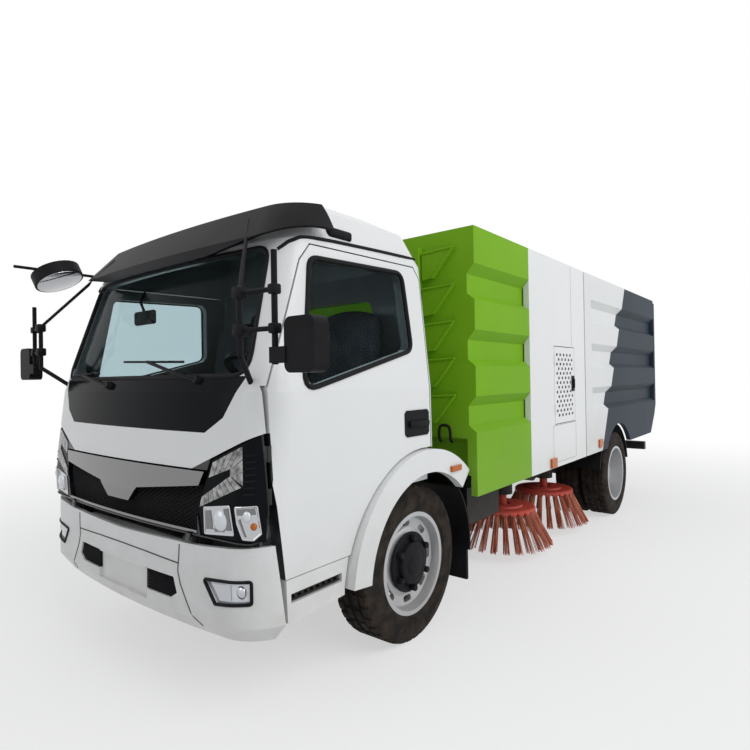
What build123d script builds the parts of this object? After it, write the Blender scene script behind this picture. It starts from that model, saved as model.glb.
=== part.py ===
from build123d import *
import math
import os

os.makedirs("parts", exist_ok=True)

# Driving sizes, in millimetres
wheelbase = 3308
front_reach = 1290
bumper_overhang = 1135
rear_overhang = 1557
overall_length = front_reach + wheelbase + rear_overhang
ax = overall_length / 2 - front_reach
rear_axle_x = ax - wheelbase
rear_end_x = rear_axle_x - rear_overhang
gap = 6
seat = 0.3

# Wheels
tyre_radius = 400
tyre_half = 113
bead_radius = 251
flange_radius = 262
front_wheel_y = 752
rear_outer_y = 854
dual_pitch = 250
hub_z = tyre_radius
kingpin_y = 640

# Ladder frame
rail_outer = 375
rail_flange = 65
rail_plate = 8
rail_low = 560
rail_top = 750
subframe_top = 800
rail_front_x = ax + 1000
rail_rear_x = rear_end_x + 85

# Cab
cab_wall = 55
cab_rear_d = -125
floor_low = 820
floor_top = 855
front_low = 752
door_low = 602
arch_radius = 606
flare_outer = 598
flare_inner = 480
flare_y = (862, 962)
bulkhead_x = ax + 930
cab_pivot_x = ax + 1105
cab_pivot_z = 735
cab_ear_y = (500, 560)
pin_radius = 7
door_hinge_x = ax + 1003
door_hinge_y = 905
pillar_y = 840
door_hinge_z = ((900, 960), (1060, 1120))
hinge_radius = 9

# Box behind the cab
box_half = 1000
box_top = 2230
skirt_low = 685
tank_front_x = ax - 430
tank_rear_x = ax - 1190
house_rear_x = ax - 2310
bin_front_x = ax - 2330
bin_floor_low = 885
wall = 40
rib_depth = 48
bin_pivot_x = rear_end_x + 105
bin_pivot_z = subframe_top + 20

# Brushes
brush_y = 560
brush_front_x = ax - 1640
brush_pitch = 835
brush_radius = 405
brush_tip_z = 65
plate_radius = 250
plate_z = 335
arm_dx = 460
arm_dy = 215


# Export of one finished piece
def save(builder, name):
    builder.part.label = name
    export_step(builder.part, "parts/" + name + ".step")


# A box given by its bounds along each axis
def block(x, y, z, mode=Mode.ADD):
    with Locations(((x[0] + x[1]) / 2, (y[0] + y[1]) / 2, (z[0] + z[1]) / 2)):
        Box(abs(x[1] - x[0]), abs(y[1] - y[0]), abs(z[1] - z[0]), mode=mode)


# A solid drawn in side view (x, z) and carried from y[0] to y[1]
def side_prism(points, y, corner=0, mode=Mode.ADD):
    with BuildSketch(Plane.XZ.offset(-y[1])) as drawing:
        with BuildLine():
            Polyline(*points, close=True)
        make_face()
        if corner:
            fillet(drawing.vertices(), corner)
    extrude(drawing.sketch, amount=y[1] - y[0], mode=mode)


# A solid drawn in front view (y, z) and carried from x[0] to x[1]
def front_prism(points, x, corner=0, mode=Mode.ADD):
    with BuildSketch(Plane.YZ.offset(x[0])) as drawing:
        with BuildLine():
            Polyline(*points, close=True)
        make_face()
        if corner:
            fillet(drawing.vertices(), corner)
    extrude(drawing.sketch, amount=x[1] - x[0], mode=mode)


# A round bar between two points
def rod(p, q, radius, mode=Mode.ADD):
    run = Vector(*q) - Vector(*p)
    with BuildSketch(Plane(origin=p, z_dir=run)) as drawing:
        Circle(radius)
    extrude(drawing.sketch, amount=run.length, mode=mode)


# A ring or disc standing across the truck: profile of (axial, radial) points
def turned(x, y, side, points, mode=Mode.ADD):
    with BuildSketch(Plane(origin=(x, y, hub_z), x_dir=(0, side, 0), z_dir=(side, 0, 0))) as drawing:
        with BuildLine():
            Polyline(*points, close=True)
        make_face()
    revolve(drawing.sketch, axis=Axis((x, y, hub_z), (0, 1, 0)), mode=mode)


# The same points on the other side of the truck
def flip(points):
    return [(-y, z) for y, z in points]


# Cab form, as plan outlines from sill to roof
# columns: z, front, bow, half width, corner radius, rear
cab_rows = [
    (470, 1112, 60, 915, 140, cab_rear_d),
    (890, 1135, 60, 930, 150, cab_rear_d),
    (1320, 1082, 60, 925, 145, cab_rear_d),
    (1955, 878, 55, 864, 125, cab_rear_d + 8),
    (2130, 730, 50, 775, 130, cab_rear_d + 40),
    (2225, 500, 40, 600, 130, cab_rear_d + 140),
]


cab_forms = {}


def cab_body(inset):
    if inset in cab_forms:
        return cab_forms[inset]
    last = len(cab_rows) - 1
    with BuildPart() as body:
        for row, (z, front, bow, half, corner, rear) in enumerate(cab_rows):
            level = z - inset if row == last else z
            nose = ax + front - inset
            side = half - inset
            tail = ax + rear + inset
            with BuildSketch(Plane.XY.offset(level)) as outline:
                with BuildLine():
                    brow = ThreePointArc((nose - bow, -side), (nose, 0), (nose - bow, side))
                    Polyline(brow @ 1, (tail, side), (tail, -side), brow @ 0)
                make_face()
                fillet(outline.vertices().sort_by(Axis.X)[-2:], corner - inset)
                fillet(outline.vertices().sort_by(Axis.X)[:2], 70 - inset)
        loft(ruled=True)
    cab_forms[inset] = body.part
    return body.part


def cab_skin(outer, inner):
    with BuildPart() as skin:
        add(cab_body(outer))
        add(cab_body(inner), mode=Mode.SUBTRACT)
    return skin.part


cab_outer = cab_body(0)
cab_wall_skin = cab_skin(0, cab_wall)
cab_cut_skin = cab_skin(-1, cab_wall + 6)
glass_skin = cab_skin(16, 22)


# Door outline in side view, grown all round by a margin
def door_prism(grow, mode):
    with BuildSketch(Plane.XZ.offset(-1100)) as drawing:
        with BuildLine():
            edge = Polyline(
                (ax + math.sqrt(arch_radius ** 2 - (door_low - hub_z) ** 2), door_low),
                (ax + 943, door_low),
                (ax + 967, 770),
                (ax + 1000, 995),
                (ax + 990, 1330),
                (ax + 790, 1860),
                (ax + 735, 1930),
                (ax - 15, 1942),
                (ax - 62, 1880),
                (ax - 62, hub_z + arch_radius),
                (ax, hub_z + arch_radius),
            )
            ThreePointArc(
                edge @ 1,
                (ax + arch_radius * math.sin(math.radians(45)),
                 hub_z + arch_radius * math.cos(math.radians(45))),
                edge @ 0,
            )
        make_face()
        if grow:
            offset(amount=grow, kind=Kind.INTERSECTION)
    extrude(drawing.sketch, amount=1100 - 600, mode=mode)
    inner = pillar_y - grow
    front_prism([(inner, 400), (1100, 400), (1100, 2000), (inner - 45, 2000), (inner - 45, 1900), (inner, 1330)],
                (ax - 400, ax + 1300), mode=Mode.INTERSECT)


window_outline = [(835, 1322), (75, 1508), (100, 1893), (742, 1872)]
window_points = [(ax + d, z) for d, z in window_outline]

# Doors and their glass
with BuildPart() as door_left:
    add(cab_wall_skin)
    door_prism(0, Mode.INTERSECT)
    side_prism(window_points, (600, 1100), corner=55, mode=Mode.SUBTRACT)
    for z in door_hinge_z:
        rod((door_hinge_x, door_hinge_y, z[0] - 1), (door_hinge_x, door_hinge_y, z[1] + 1), hinge_radius + seat,
            mode=Mode.SUBTRACT)
save(door_left, "door_left")

with BuildPart() as door_glass_left:
    add(glass_skin)
    with BuildSketch(Plane.XZ.offset(-1100)) as pane:
        with BuildLine():
            Polyline(*window_points, close=True)
        make_face()
        fillet(pane.vertices(), 55)
        offset(amount=-seat, kind=Kind.INTERSECTION)
    extrude(amount=500, mode=Mode.INTERSECT)
save(door_glass_left, "door_glass_left")

for name, left in (("door_right", door_left), ("door_glass_right", door_glass_left)):
    with BuildPart() as copy:
        mirror(left.part, about=Plane.XZ)
    save(copy, name)

# Front openings, in front view
screen_outline = [(-795, 1388), (795, 1388), (735, 1922), (-735, 1922)]
black_outline = [(-600, 1160), (600, 1160), (700, 1222), (798, 1384), (-798, 1384), (-700, 1222)]
lamp_outline = [(600, 758), (588, 862), (650, 1062), (890, 1165), (960, 1165), (960, 758)]
grille_outline = [(-585, 758), (585, 758), (592, 860), (640, 1016), (-640, 1016), (-592, 860)]
rear_glass = [(-560, 1430), (560, 1430), (540, 1810), (-540, 1810)]
lamp_x = (ax + 1016, ax + 1300)

# Cab shell with floor, front bulkhead and openings
with BuildPart() as cab_shell:
    add(cab_outer)
    block((ax - 400, bulkhead_x), (-1100, 1100), (300, floor_low), mode=Mode.SUBTRACT)
    block((bulkhead_x - 1, ax + 1300), (-1100, 1100), (300, front_low), mode=Mode.SUBTRACT)
    with BuildPart(mode=Mode.PRIVATE) as hollow:
        add(cab_body(cab_wall))
        block((ax - 400, bulkhead_x), (-1100, 1100), (floor_top, 2400), mode=Mode.INTERSECT)
    add(hollow.part, mode=Mode.SUBTRACT)
    for about in (None, Plane.XZ):
        with BuildPart(mode=Mode.PRIVATE) as opening:
            add(cab_cut_skin)
            door_prism(gap, Mode.INTERSECT)
            if about:
                mirror(about=about, mode=Mode.REPLACE)
        add(opening.part, mode=Mode.SUBTRACT)
    for side in (-1, 1):
        for room, z in ((10, (300, 1165)), (3, (1164, 1345))):
            block((bulkhead_x - 5, door_hinge_x + room), (side * (pillar_y - gap), side * 1100), z, mode=Mode.SUBTRACT)
        with Locations((ax, side * (flare_y[0] + 150), hub_z)):
            Cylinder(arch_radius, 300, rotation=(90, 0, 0), mode=Mode.SUBTRACT)
        block((ax - 400, ax + 1100), (side * flare_y[0], side * 1100), (300, floor_top),
              mode=Mode.SUBTRACT)
    front_prism(screen_outline, (ax + 600, ax + 1300), corner=80, mode=Mode.SUBTRACT)
    front_prism(rear_glass, (ax - 300, ax - 60), corner=60, mode=Mode.SUBTRACT)
    front_prism(grille_outline, (ax + 1035, ax + 1300), mode=Mode.SUBTRACT)
    for outline in (lamp_outline, flip(lamp_outline)):
        front_prism(outline, (lamp_x[0] - seat, lamp_x[1]), mode=Mode.SUBTRACT)
    with BuildPart(mode=Mode.PRIVATE) as recess:
        add(cab_skin(-1, 14))
        front_prism(black_outline, (ax + 700, ax + 1300), mode=Mode.INTERSECT)
    add(recess.part, mode=Mode.SUBTRACT)
    for side in (-1, 1):
        for z in door_hinge_z:
            rod((door_hinge_x, side * door_hinge_y, z[0]), (door_hinge_x, side * door_hinge_y, z[1]), hinge_radius)
            block((door_hinge_x + 0.5, door_hinge_x + 13), (side * 795, side * door_hinge_y), z)
        lug = (side * (cab_ear_y[0] + 15), side * (cab_ear_y[1] - 15))
        rod((cab_pivot_x, lug[0], cab_pivot_z), (cab_pivot_x, lug[1], cab_pivot_z), pin_radius + 5)
        block((cab_pivot_x - 12, cab_pivot_x + 8), lug, (cab_pivot_z, front_low + 5))
        rod((cab_pivot_x, lug[0], cab_pivot_z), (cab_pivot_x, lug[1], cab_pivot_z), pin_radius + seat,
            mode=Mode.SUBTRACT)
save(cab_shell, "cab_shell")

with BuildPart() as cab_glass:
    add(glass_skin)
    with BuildSketch(Plane.YZ.offset(ax + 600)) as pane:
        with BuildLine():
            Polyline(*screen_outline, close=True)
        make_face()
        fillet(pane.vertices(), 80)
        offset(amount=-seat, kind=Kind.INTERSECTION)
    extrude(amount=700, mode=Mode.INTERSECT)
    with BuildSketch(Plane.YZ.offset(ax + cab_rear_d + 25)) as pane:
        with BuildLine():
            Polyline(*rear_glass, close=True)
        make_face()
        fillet(pane.vertices(), 60)
        offset(amount=-seat, kind=Kind.INTERSECTION)
    extrude(amount=6)
save(cab_glass, "cab_glass")

# Dark panel below the windscreen
with BuildPart() as cowl_panel:
    add(cab_skin(0, 14))
    front_prism(black_outline, (ax + 700, ax + 1300), mode=Mode.INTERSECT)
save(cowl_panel, "cowl_panel")

# Grille mesh behind a bright bar
grille_lattice = 120
with BuildPart() as grille_mesh:
    add(cab_skin(20, 32))
    front_prism([(-584.7, 758.3), (584.7, 758.3), (591.7, 860), (639.6, 1015.7), (-639.6, 1015.7), (-591.7, 860)],
                (ax + 1000, ax + 1300), mode=Mode.INTERSECT)
    with BuildPart(mode=Mode.PRIVATE) as holes:
        with BuildSketch(Plane.YZ.offset(ax + 1000)):
            with Locations((0, 868)):
                with GridLocations(grille_lattice, 54, 9, 4):
                    with BuildLine():
                        Polyline((-50, 0), (0, -21), (50, 0), (0, 21), close=True)
                    make_face()
        extrude(amount=300)
    add(holes.part, mode=Mode.SUBTRACT)
save(grille_mesh, "grille_mesh")

with BuildPart() as grille_bar:
    add(cab_skin(-6, 19))
    front_prism([(-625, 1010), (625, 1010), (600, 955), (170, 905), (95, 838), (-95, 838), (-170, 905),
                 (-600, 955)], (ax + 1000, ax + 1300), mode=Mode.INTERSECT)
save(grille_bar, "grille_bar")

# Headlamps
with BuildPart() as headlamps:
    add(cab_body(4))
    front_prism([(608, 762), (597, 862), (658, 1059), (890, 1161), (955, 1161), (955, 762)],
                lamp_x, mode=Mode.INTERSECT)
    mirror(about=Plane.XZ)
save(headlamps, "headlamps")

# Sun visor on its stays
with BuildPart() as sun_visor:
    add(cab_skin(-80, -62))
    front_prism([(-960, 2015), (-800, 1962), (-450, 1905), (450, 1905), (800, 1962), (960, 2015), (960, 2125),
                 (-960, 2125)], (ax + 640, ax + 1100), mode=Mode.INTERSECT)
    with BuildPart(mode=Mode.PRIVATE) as stays:
        add(cab_skin(-70, 0))
        with BuildPart(mode=Mode.PRIVATE) as plates:
            for y in (-500, 0, 500):
                block((ax + 640, ax + 1100), (y - 12, y + 12), (2020, 2080))
        add(plates.part, mode=Mode.INTERSECT)
    add(stays.part)
save(sun_visor, "sun_visor")

# Wheel-arch flares and the steps under the doors
step_top = door_low - gap
step_slot = (502, 538)
with BuildPart() as flares:
    with BuildSketch(Plane.XZ.offset(-flare_y[1])):
        with BuildLine():
            for radius in (flare_outer, flare_inner):
                CenterArc((ax, hub_z), radius, 6, 127)
            for angle in (6, 133):
                c = math.cos(math.radians(angle))
                s = math.sin(math.radians(angle))
                Line((ax + flare_inner * c, hub_z + flare_inner * s),
                     (ax + flare_outer * c, hub_z + flare_outer * s))
        make_face()
    extrude(amount=flare_y[1] - flare_y[0])
    with Locations((ax, flare_y[0] + 37 - 50, hub_z)):
        Cylinder(flare_outer - 28, 100 + 74 - 37, rotation=(90, 0, 0), mode=Mode.SUBTRACT)
    side_prism([(ax + 606, 440), (ax + 900, 420), (ax + 930, 430), (ax + 936, step_top), (ax + 578, step_top),
                (ax + 606, 470)], (740, 914))
    block((ax + 640, ax + 925), (745, 760), (step_top - 1, floor_low - seat))
    block((ax + 622, ax + 912), (878, 1000), step_slot, mode=Mode.SUBTRACT)
    mirror(about=Plane.XZ)
save(flares, "flares")

# Mirrors on their tubular stands
with BuildPart() as visor_side:
    add(cab_body(-80.1))
    block((ax - 400, ax + 1300), (-1100, 1100), (1890, 2400), mode=Mode.INTERSECT)

# columns: start, end, radius
mirror_bars = [
    ((1125, 900, 1452), (1125, 900, 1690), 11),
    ((1125, 900, 1455), (990, 800, 1336), 11),
    ((1125, 900, 1685), (840, 600, 2060), 8),
    ((1125, 900, 1680), (1100, 1060, 1680), 9),
    ((1125, 900, 1545), (1100, 1060, 1545), 9),
    ((1100, 1060, 1420), (1100, 1060, 1815), 11),
]
with BuildPart() as mirrors:
    for p, q, r in mirror_bars:
        rod((ax + p[0], p[1], p[2]), (ax + q[0], q[1], q[2]), r)
    block((ax + 1070, ax + 1115), (1045, 1125), (1425, 1480))
    with BuildPart(mode=Mode.PRIVATE) as head:
        block((ax + 1040, ax + 1110), (1116, 1260), (1390, 1578))
        fillet(head.edges().filter_by(Axis.X), 30)
    add(head.part)
    mirror(about=Plane.XZ)
    rod((ax + 700, -790, 1990), (ax + front_reach, -790, 1990), 8)
    rod((ax + 1085, -795, 1990), (ax + 1072, -772, 1935), 125)
    add(cab_body(-0.3), mode=Mode.SUBTRACT)
    add(visor_side.part, mode=Mode.SUBTRACT)
save(mirrors, "mirrors")

# Seats, dashboard and steering wheel
with BuildPart() as seats:
    for y in ((200, 700), (-720, 150)):
        side_prism([(ax + 40, floor_top + seat), (ax + 520, floor_top + seat), (ax + 540, 1190),
                    (ax + 190, 1160), (ax + 70, 1760), (ax - 40, 1760), (ax + 20, 1150)], y)
save(seats, "seats")

with BuildPart() as dashboard:
    side_prism([(ax + 760, 1080), (bulkhead_x - seat, 1060), (bulkhead_x - seat, 1318), (ax + 780, 1300)],
               (-780, 780))
    tilt = Plane(origin=(ax + 640, 450, 1375), z_dir=(-0.5, 0, 0.866))
    with BuildSketch(tilt):
        Circle(205)
        Circle(178, mode=Mode.SUBTRACT)
        Rectangle(370, 36)
        Circle(55)
    extrude(amount=26)
    rod((ax + 640, 450, 1375), (ax + 640 + 0.5 * 330, 450, 1375 - 0.866 * 330), 30)
save(dashboard, "dashboard")

# Bumper on the ends of the frame
# columns: z, front, half width
bumper_rows = [(355, 1085, 868), (432, 1130, 925), (745, 1124, 930)]
bumper_end = [(ax + 930, 300), (ax + 942, 430), (ax + 980, 750), (ax + 1300, 750), (ax + 1300, 300)]
bumper_edge = [(-940, 742), (-594, 714), (0, 700), (594, 714), (940, 742), (940, 300), (-940, 300)]


def bumper_form(inset):
    with BuildPart() as form:
        for z, front, half in bumper_rows:
            nose = ax + front - inset
            side = half - inset
            with BuildSketch(Plane.XY.offset(z)) as outline:
                with BuildLine():
                    brow = ThreePointArc((nose - 60, -side), (nose, 0), (nose - 60, side))
                    Polyline(brow @ 1, (ax + 700, side), (ax + 700, -side), brow @ 0)
                make_face()
                fillet(outline.vertices().sort_by(Axis.X)[-2:], 210 - inset)
        loft(ruled=True)
    return form.part


mesh_outline = [(215, 470), (430, 470), (610, 525), (610, 560), (215, 560)]
fog_outline = [(688, 508), (840, 527), (840, 607), (622, 588)]
with BuildPart() as bumper:
    add(bumper_form(0))
    with BuildPart(mode=Mode.PRIVATE) as inner:
        add(bumper_form(20))
    add(inner.part, mode=Mode.SUBTRACT)
    front_prism(bumper_edge, (ax + 900, ax + 1300), mode=Mode.INTERSECT)
    side_prism(bumper_end, (-1000, 1000), mode=Mode.INTERSECT)
    with BuildPart(mode=Mode.PRIVATE) as beam:
        add(bumper_form(10))
        block((rail_front_x + 30 + seat, ax + 1300), (-480, 480), (585, 685), mode=Mode.INTERSECT)
    add(beam.part)
    for outline in (mesh_outline, flip(mesh_outline)):
        front_prism(outline, (ax + 1060, ax + 1300), mode=Mode.SUBTRACT)
    for outline in (fog_outline, flip(fog_outline)):
        front_prism(outline, (ax + 1000, ax + 1300), mode=Mode.SUBTRACT)
    block((ax + bumper_overhang - 25, ax + 1300), (-225, 225), (425, 555), mode=Mode.SUBTRACT)
save(bumper, "bumper")

with BuildPart() as bumper_mesh:
    for outline in (mesh_outline, flip(mesh_outline)):
        with BuildPart(mode=Mode.PRIVATE) as plate:
            add(bumper_form(10))
            front_prism(outline, (ax + 1060, ax + 1300), mode=Mode.INTERSECT)
            add(bumper_form(20), mode=Mode.SUBTRACT)
        add(plate.part)
    for y in (-520, -440, -360, -280, 280, 360, 440, 520):
        for z in (488, 516, 544):
            block((ax + 1000, ax + 1300), (y - 28, y + 28), (z - 9, z + 9), mode=Mode.SUBTRACT)
save(bumper_mesh, "bumper_mesh")

with BuildPart() as fog_lamps:
    for outline in (fog_outline, flip(fog_outline)):
        with BuildPart(mode=Mode.PRIVATE) as lens:
            add(bumper_form(8))
            front_prism(outline, (ax + 1000, ax + 1300), mode=Mode.INTERSECT)
            add(bumper_form(20), mode=Mode.SUBTRACT)
        add(lens.part)
save(fog_lamps, "fog_lamps")

# Ladder frame
with BuildPart() as frame_rails:
    channel = [(rail_outer, rail_low), (rail_outer, rail_top), (rail_outer - rail_flange, rail_top),
               (rail_outer - rail_flange, rail_top - rail_plate), (rail_outer - rail_plate, rail_top - rail_plate),
               (rail_outer - rail_plate, rail_low + rail_plate), (rail_outer - rail_flange, rail_low + rail_plate),
               (rail_outer - rail_flange, rail_low)]
    front_prism(channel, (rail_rear_x, rail_front_x))
    mirror(about=Plane.YZ.rotated((0, 0, 90)))
save(frame_rails, "frame_rails")

web = rail_outer - rail_plate - seat
cross_x = [ax + 940, ax - 1050, ax - 1750, ax - 2600, ax - 4000, rail_rear_x + 60]
with BuildPart() as crossmembers:
    for x in cross_x:
        block((x - 40, x + 40), (-web, web), (rail_low + 40, rail_top - 60))
    block((rail_front_x + seat, rail_front_x + 30), (-570, 570), (590, 690))
    for side in (-1, 1):
        for y in ((cab_ear_y[0], cab_ear_y[0] + 12), (cab_ear_y[1] - 12, cab_ear_y[1])):
            block((rail_front_x + 20, ax + 1076), (side * y[0], side * y[1]), (650, cab_pivot_z + 10))
            block((ax + 1070, cab_pivot_x), (side * y[0], side * y[1]), (cab_pivot_z - 10, cab_pivot_z + 10))
            rod((cab_pivot_x, side * y[0], cab_pivot_z), (cab_pivot_x, side * y[1], cab_pivot_z), pin_radius + 4)
        rod((cab_pivot_x, side * cab_ear_y[0], cab_pivot_z), (cab_pivot_x, side * cab_ear_y[1], cab_pivot_z), pin_radius)
    for x in (brush_front_x + arm_dx, brush_front_x + arm_dx - brush_pitch):
        for y in (brush_y - arm_dy, arm_dy - brush_y):
            block((x - 60, x + 60), (y - 55, y + 55), (plate_z + 170, rail_low - seat))
            with Locations((x, y, plate_z + 190)):
                Cylinder(20 + seat, 62, mode=Mode.SUBTRACT)
save(crossmembers, "crossmembers")

with BuildPart() as subframe:
    for side in (-1, 1):
        block((rail_rear_x, tank_front_x - 10), (side * 280, side * 340), (rail_top, subframe_top))
        block((rail_rear_x, bin_pivot_x + 20), (side * 335, side * 356), (rail_top + 10, subframe_top - 1))
        block((rail_rear_x, bin_pivot_x + 20), (side * 342, side * 356), (rail_top + 10, bin_pivot_z + 18))
        rod((bin_pivot_x, side * 281, bin_pivot_z), (bin_pivot_x, side * 350, bin_pivot_z), 14)
save(subframe, "subframe")

# Front axle with kingpin eyes
eye_low = hub_z - 42
eye_top = hub_z + 42
with BuildPart() as front_axle:
    front_prism([(-kingpin_y, eye_low), (60 - kingpin_y, eye_low), (-480, 285), (480, 285), (kingpin_y - 60, eye_low),
                 (kingpin_y, eye_low), (kingpin_y, eye_top), (kingpin_y - 60, eye_top), (480, 350), (-480, 350),
                 (60 - kingpin_y, eye_top), (-kingpin_y, eye_top)], (ax - 38, ax + 38))
    for side in (-1, 1):
        with Locations((ax, side * kingpin_y, hub_z)):
            Cylinder(44, eye_top - eye_low)
            Cylinder(18 + seat, 200, mode=Mode.SUBTRACT)
save(front_axle, "front_axle")

# Steering knuckles: fork, pin and stub
stub_end = front_wheel_y + 55
for name, side in (("knuckle_left", 1), ("knuckle_right", -1)):
    with BuildPart() as knuckle:
        for z in ((eye_top + 1, eye_top + 23), (eye_low - 23, eye_low - 1)):
            block((ax - 34, ax + 34), (side * (kingpin_y - 30), side * (kingpin_y + 72)), z)
        block((ax - 60, ax + 60), (side * (kingpin_y + 50), side * (kingpin_y + 72)), (hub_z - 80, hub_z + 80))
        with Locations((ax, side * kingpin_y, hub_z)):
            Cylinder(18, eye_top - eye_low + 46)
        rod((ax, side * (kingpin_y + 60), hub_z), (ax, side * stub_end, hub_z), 32)
    save(knuckle, name)

# Rear axle with the propeller shaft
axle_tube = 62
spindle = 45
with BuildPart() as rear_axle:
    rod((rear_axle_x, -470, hub_z), (rear_axle_x, 470, hub_z), axle_tube)
    rod((rear_axle_x, -rear_outer_y, hub_z), (rear_axle_x, rear_outer_y, hub_z), spindle)
    rod((rear_axle_x, -110, hub_z), (rear_axle_x, 110, hub_z), 165)
    rod((rear_axle_x, 0, hub_z), (rear_axle_x + 260, 0, hub_z + 10), 70)
    rod((ax - 890, 0, 545), (rear_axle_x + 200, 0, hub_z + 8), 42)
save(rear_axle, "rear_axle")

# Leaf springs between axles and rails
# columns: axle position, seat height on the axle
with BuildPart() as leaf_springs:
    for x, low in ((ax, 350 + seat), (rear_axle_x, hub_z + axle_tube + seat)):
        for y in (330, -330):
            with BuildSketch(Plane.XZ.offset(-y - 30)):
                with BuildLine():
                    top = ThreePointArc((x - 620, rail_low - seat), (x, low + 50), (x + 620, rail_low - seat))
                    under = ThreePointArc((x - 620, rail_low - 42), (x, low), (x + 620, rail_low - 42))
                    Line(top @ 0, under @ 0)
                    Line(top @ 1, under @ 1)
                make_face()
            extrude(amount=60)
save(leaf_springs, "leaf_springs")

# Engine and gearbox
with BuildPart() as engine:
    block((ax - 350, ax + 640), (-265, 265), (440, 800))
    block((ax + 639, ax + 740), (-290, 290), (440, 805))
    block((ax - 880, ax - 349), (-165, 165), (470, 720))
    for x in (ax + 300, ax - 250):
        block((x - 40, x + 40), (-web, web), (610, 660))
save(engine, "engine")

# Fuel tank and battery box beside the rails
with BuildPart() as side_tanks:
    block((ax - 1095, ax - 540), (-880, -rail_outer - seat), (410, 670))
    fillet(side_tanks.edges().filter_by(Axis.X), 45)
    block((ax - 1095, ax - 660), (rail_outer + seat, 800), (440, 670))
save(side_tanks, "side_tanks")

# Mudguards behind the front wheels and over the rear ones
with BuildPart() as mudguards:
    for side in (-1, 1):
        for x, inner, arc, y in ((ax, 505, (139, 186), (420, 900)), (rear_axle_x, 468, (12, 168), (430, 950))):
            with BuildSketch(Plane.XZ.offset(-max(side * y[0], side * y[1]))):
                with BuildLine():
                    for radius in (inner, inner + 12):
                        CenterArc((x, hub_z), radius, arc[0], arc[1] - arc[0])
                    for angle in arc:
                        c = math.cos(math.radians(angle))
                        s = math.sin(math.radians(angle))
                        Line((x + inner * c, hub_z + inner * s), (x + (inner + 12) * c, hub_z + (inner + 12) * s))
                make_face()
            extrude(amount=y[1] - y[0])
        block((ax - 520, ax - 500), (side * 520, side * 880), (170, 375))
        block((ax - 520, ax - 445), (side * (rail_outer + seat), side * 600), (600, 640))
        for x in (rear_axle_x - 330, rear_axle_x + 330):
            rod((x, side * (rail_outer + seat), 725), (x, side * 600, 725), 16)
save(mudguards, "mudguards")

# Underrun bar and rear lamps
with BuildPart() as rear_bar:
    block((rail_rear_x, rail_rear_x + 70), (-900, 900), (470, 560 - seat))
save(rear_bar, "rear_bar")

with BuildPart() as rear_lamps:
    for side in (-1, 1):
        block((rail_rear_x - 30, rail_rear_x - seat), (side * 600, side * 850), (485, 550))
save(rear_lamps, "rear_lamps")

# Ribs pressed into the box sides, as heights of each hollow
# columns: top, recess top, recess low, low
rib_rows = [(2015 - 380 * k, 1958 - 380 * k, 1846 - 380 * k, 1808 - 380 * k) for k in range(3)]


def rib_cut(x, mode=Mode.SUBTRACT):
    for top, recess_top, recess_low, low in rib_rows:
        points = [(box_half + 5, top), (box_half, top), (box_half - rib_depth, recess_top),
                  (box_half - rib_depth, recess_low), (box_half, low), (box_half + 5, low)]
        front_prism(points, x, mode=mode)
        front_prism(flip(points), x, mode=mode)


# Green front body with its pressed front wall
with BuildPart() as tank_body:
    block((tank_rear_x, tank_front_x), (-box_half, box_half), (skirt_low, box_top))
    block((tank_rear_x - 5, tank_front_x + 5), (wall - box_half, box_half - wall), (skirt_low - 5, subframe_top),
          mode=Mode.SUBTRACT)
    block((tank_front_x - 80, tank_front_x + 5), (60 - box_half, box_half - 60), (skirt_low - 5, 1010),
          mode=Mode.SUBTRACT)
    rib_cut((tank_rear_x - 5, tank_front_x + 5))
    for k in range(5):
        z = 2120 - 215 * k
        front_prism([(880, z), (660, z - 10), (660, z - 170), (740, z - 165)], (tank_front_x - 5, tank_front_x + 25))
        front_prism(flip([(880, z), (660, z - 10), (660, z - 170), (740, z - 165)]),
                    (tank_front_x - 5, tank_front_x + 25))
    for side in (-1, 1):
        block((tank_front_x - 5, tank_front_x + 45), (side * 545, side * 650), (1010, 2150))
save(tank_body, "tank_body")

# White middle housing, panel by panel
hatch_x = (ax - 2054, ax - 1632)
hatch_z = (1006, 1579)
hatch_hinge_z = ((1080, 1150), (1440, 1510))
with BuildPart() as house_walls:
    for side in (-1, 1):
        block((house_rear_x, tank_rear_x - seat), (side * (box_half - wall), side * box_half), (skirt_low, box_top))
        block((hatch_x[0] - gap, hatch_x[1] + gap), (side * 900, side * 1100), (hatch_z[0] - gap, hatch_z[1] + gap),
              mode=Mode.SUBTRACT)
        for z in hatch_hinge_z:
            rod((hatch_x[1] + gap / 2, side * (box_half + 2), z[0]), (hatch_x[1] + gap / 2, side * (box_half + 2), z[1]),
                hinge_radius)
save(house_walls, "house_walls")

inside = box_half - wall - seat
with BuildPart() as house_plates:
    for z in ((box_top - wall, box_top), (subframe_top, subframe_top + wall)):
        block((house_rear_x, tank_rear_x - seat), (-inside, inside), z)
save(house_plates, "house_plates")

with BuildPart() as sweeper_engine:
    block((ax - 2150, ax - 1350), (-420, 420), (subframe_top + 40, 1600))
save(sweeper_engine, "sweeper_engine")

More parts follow.
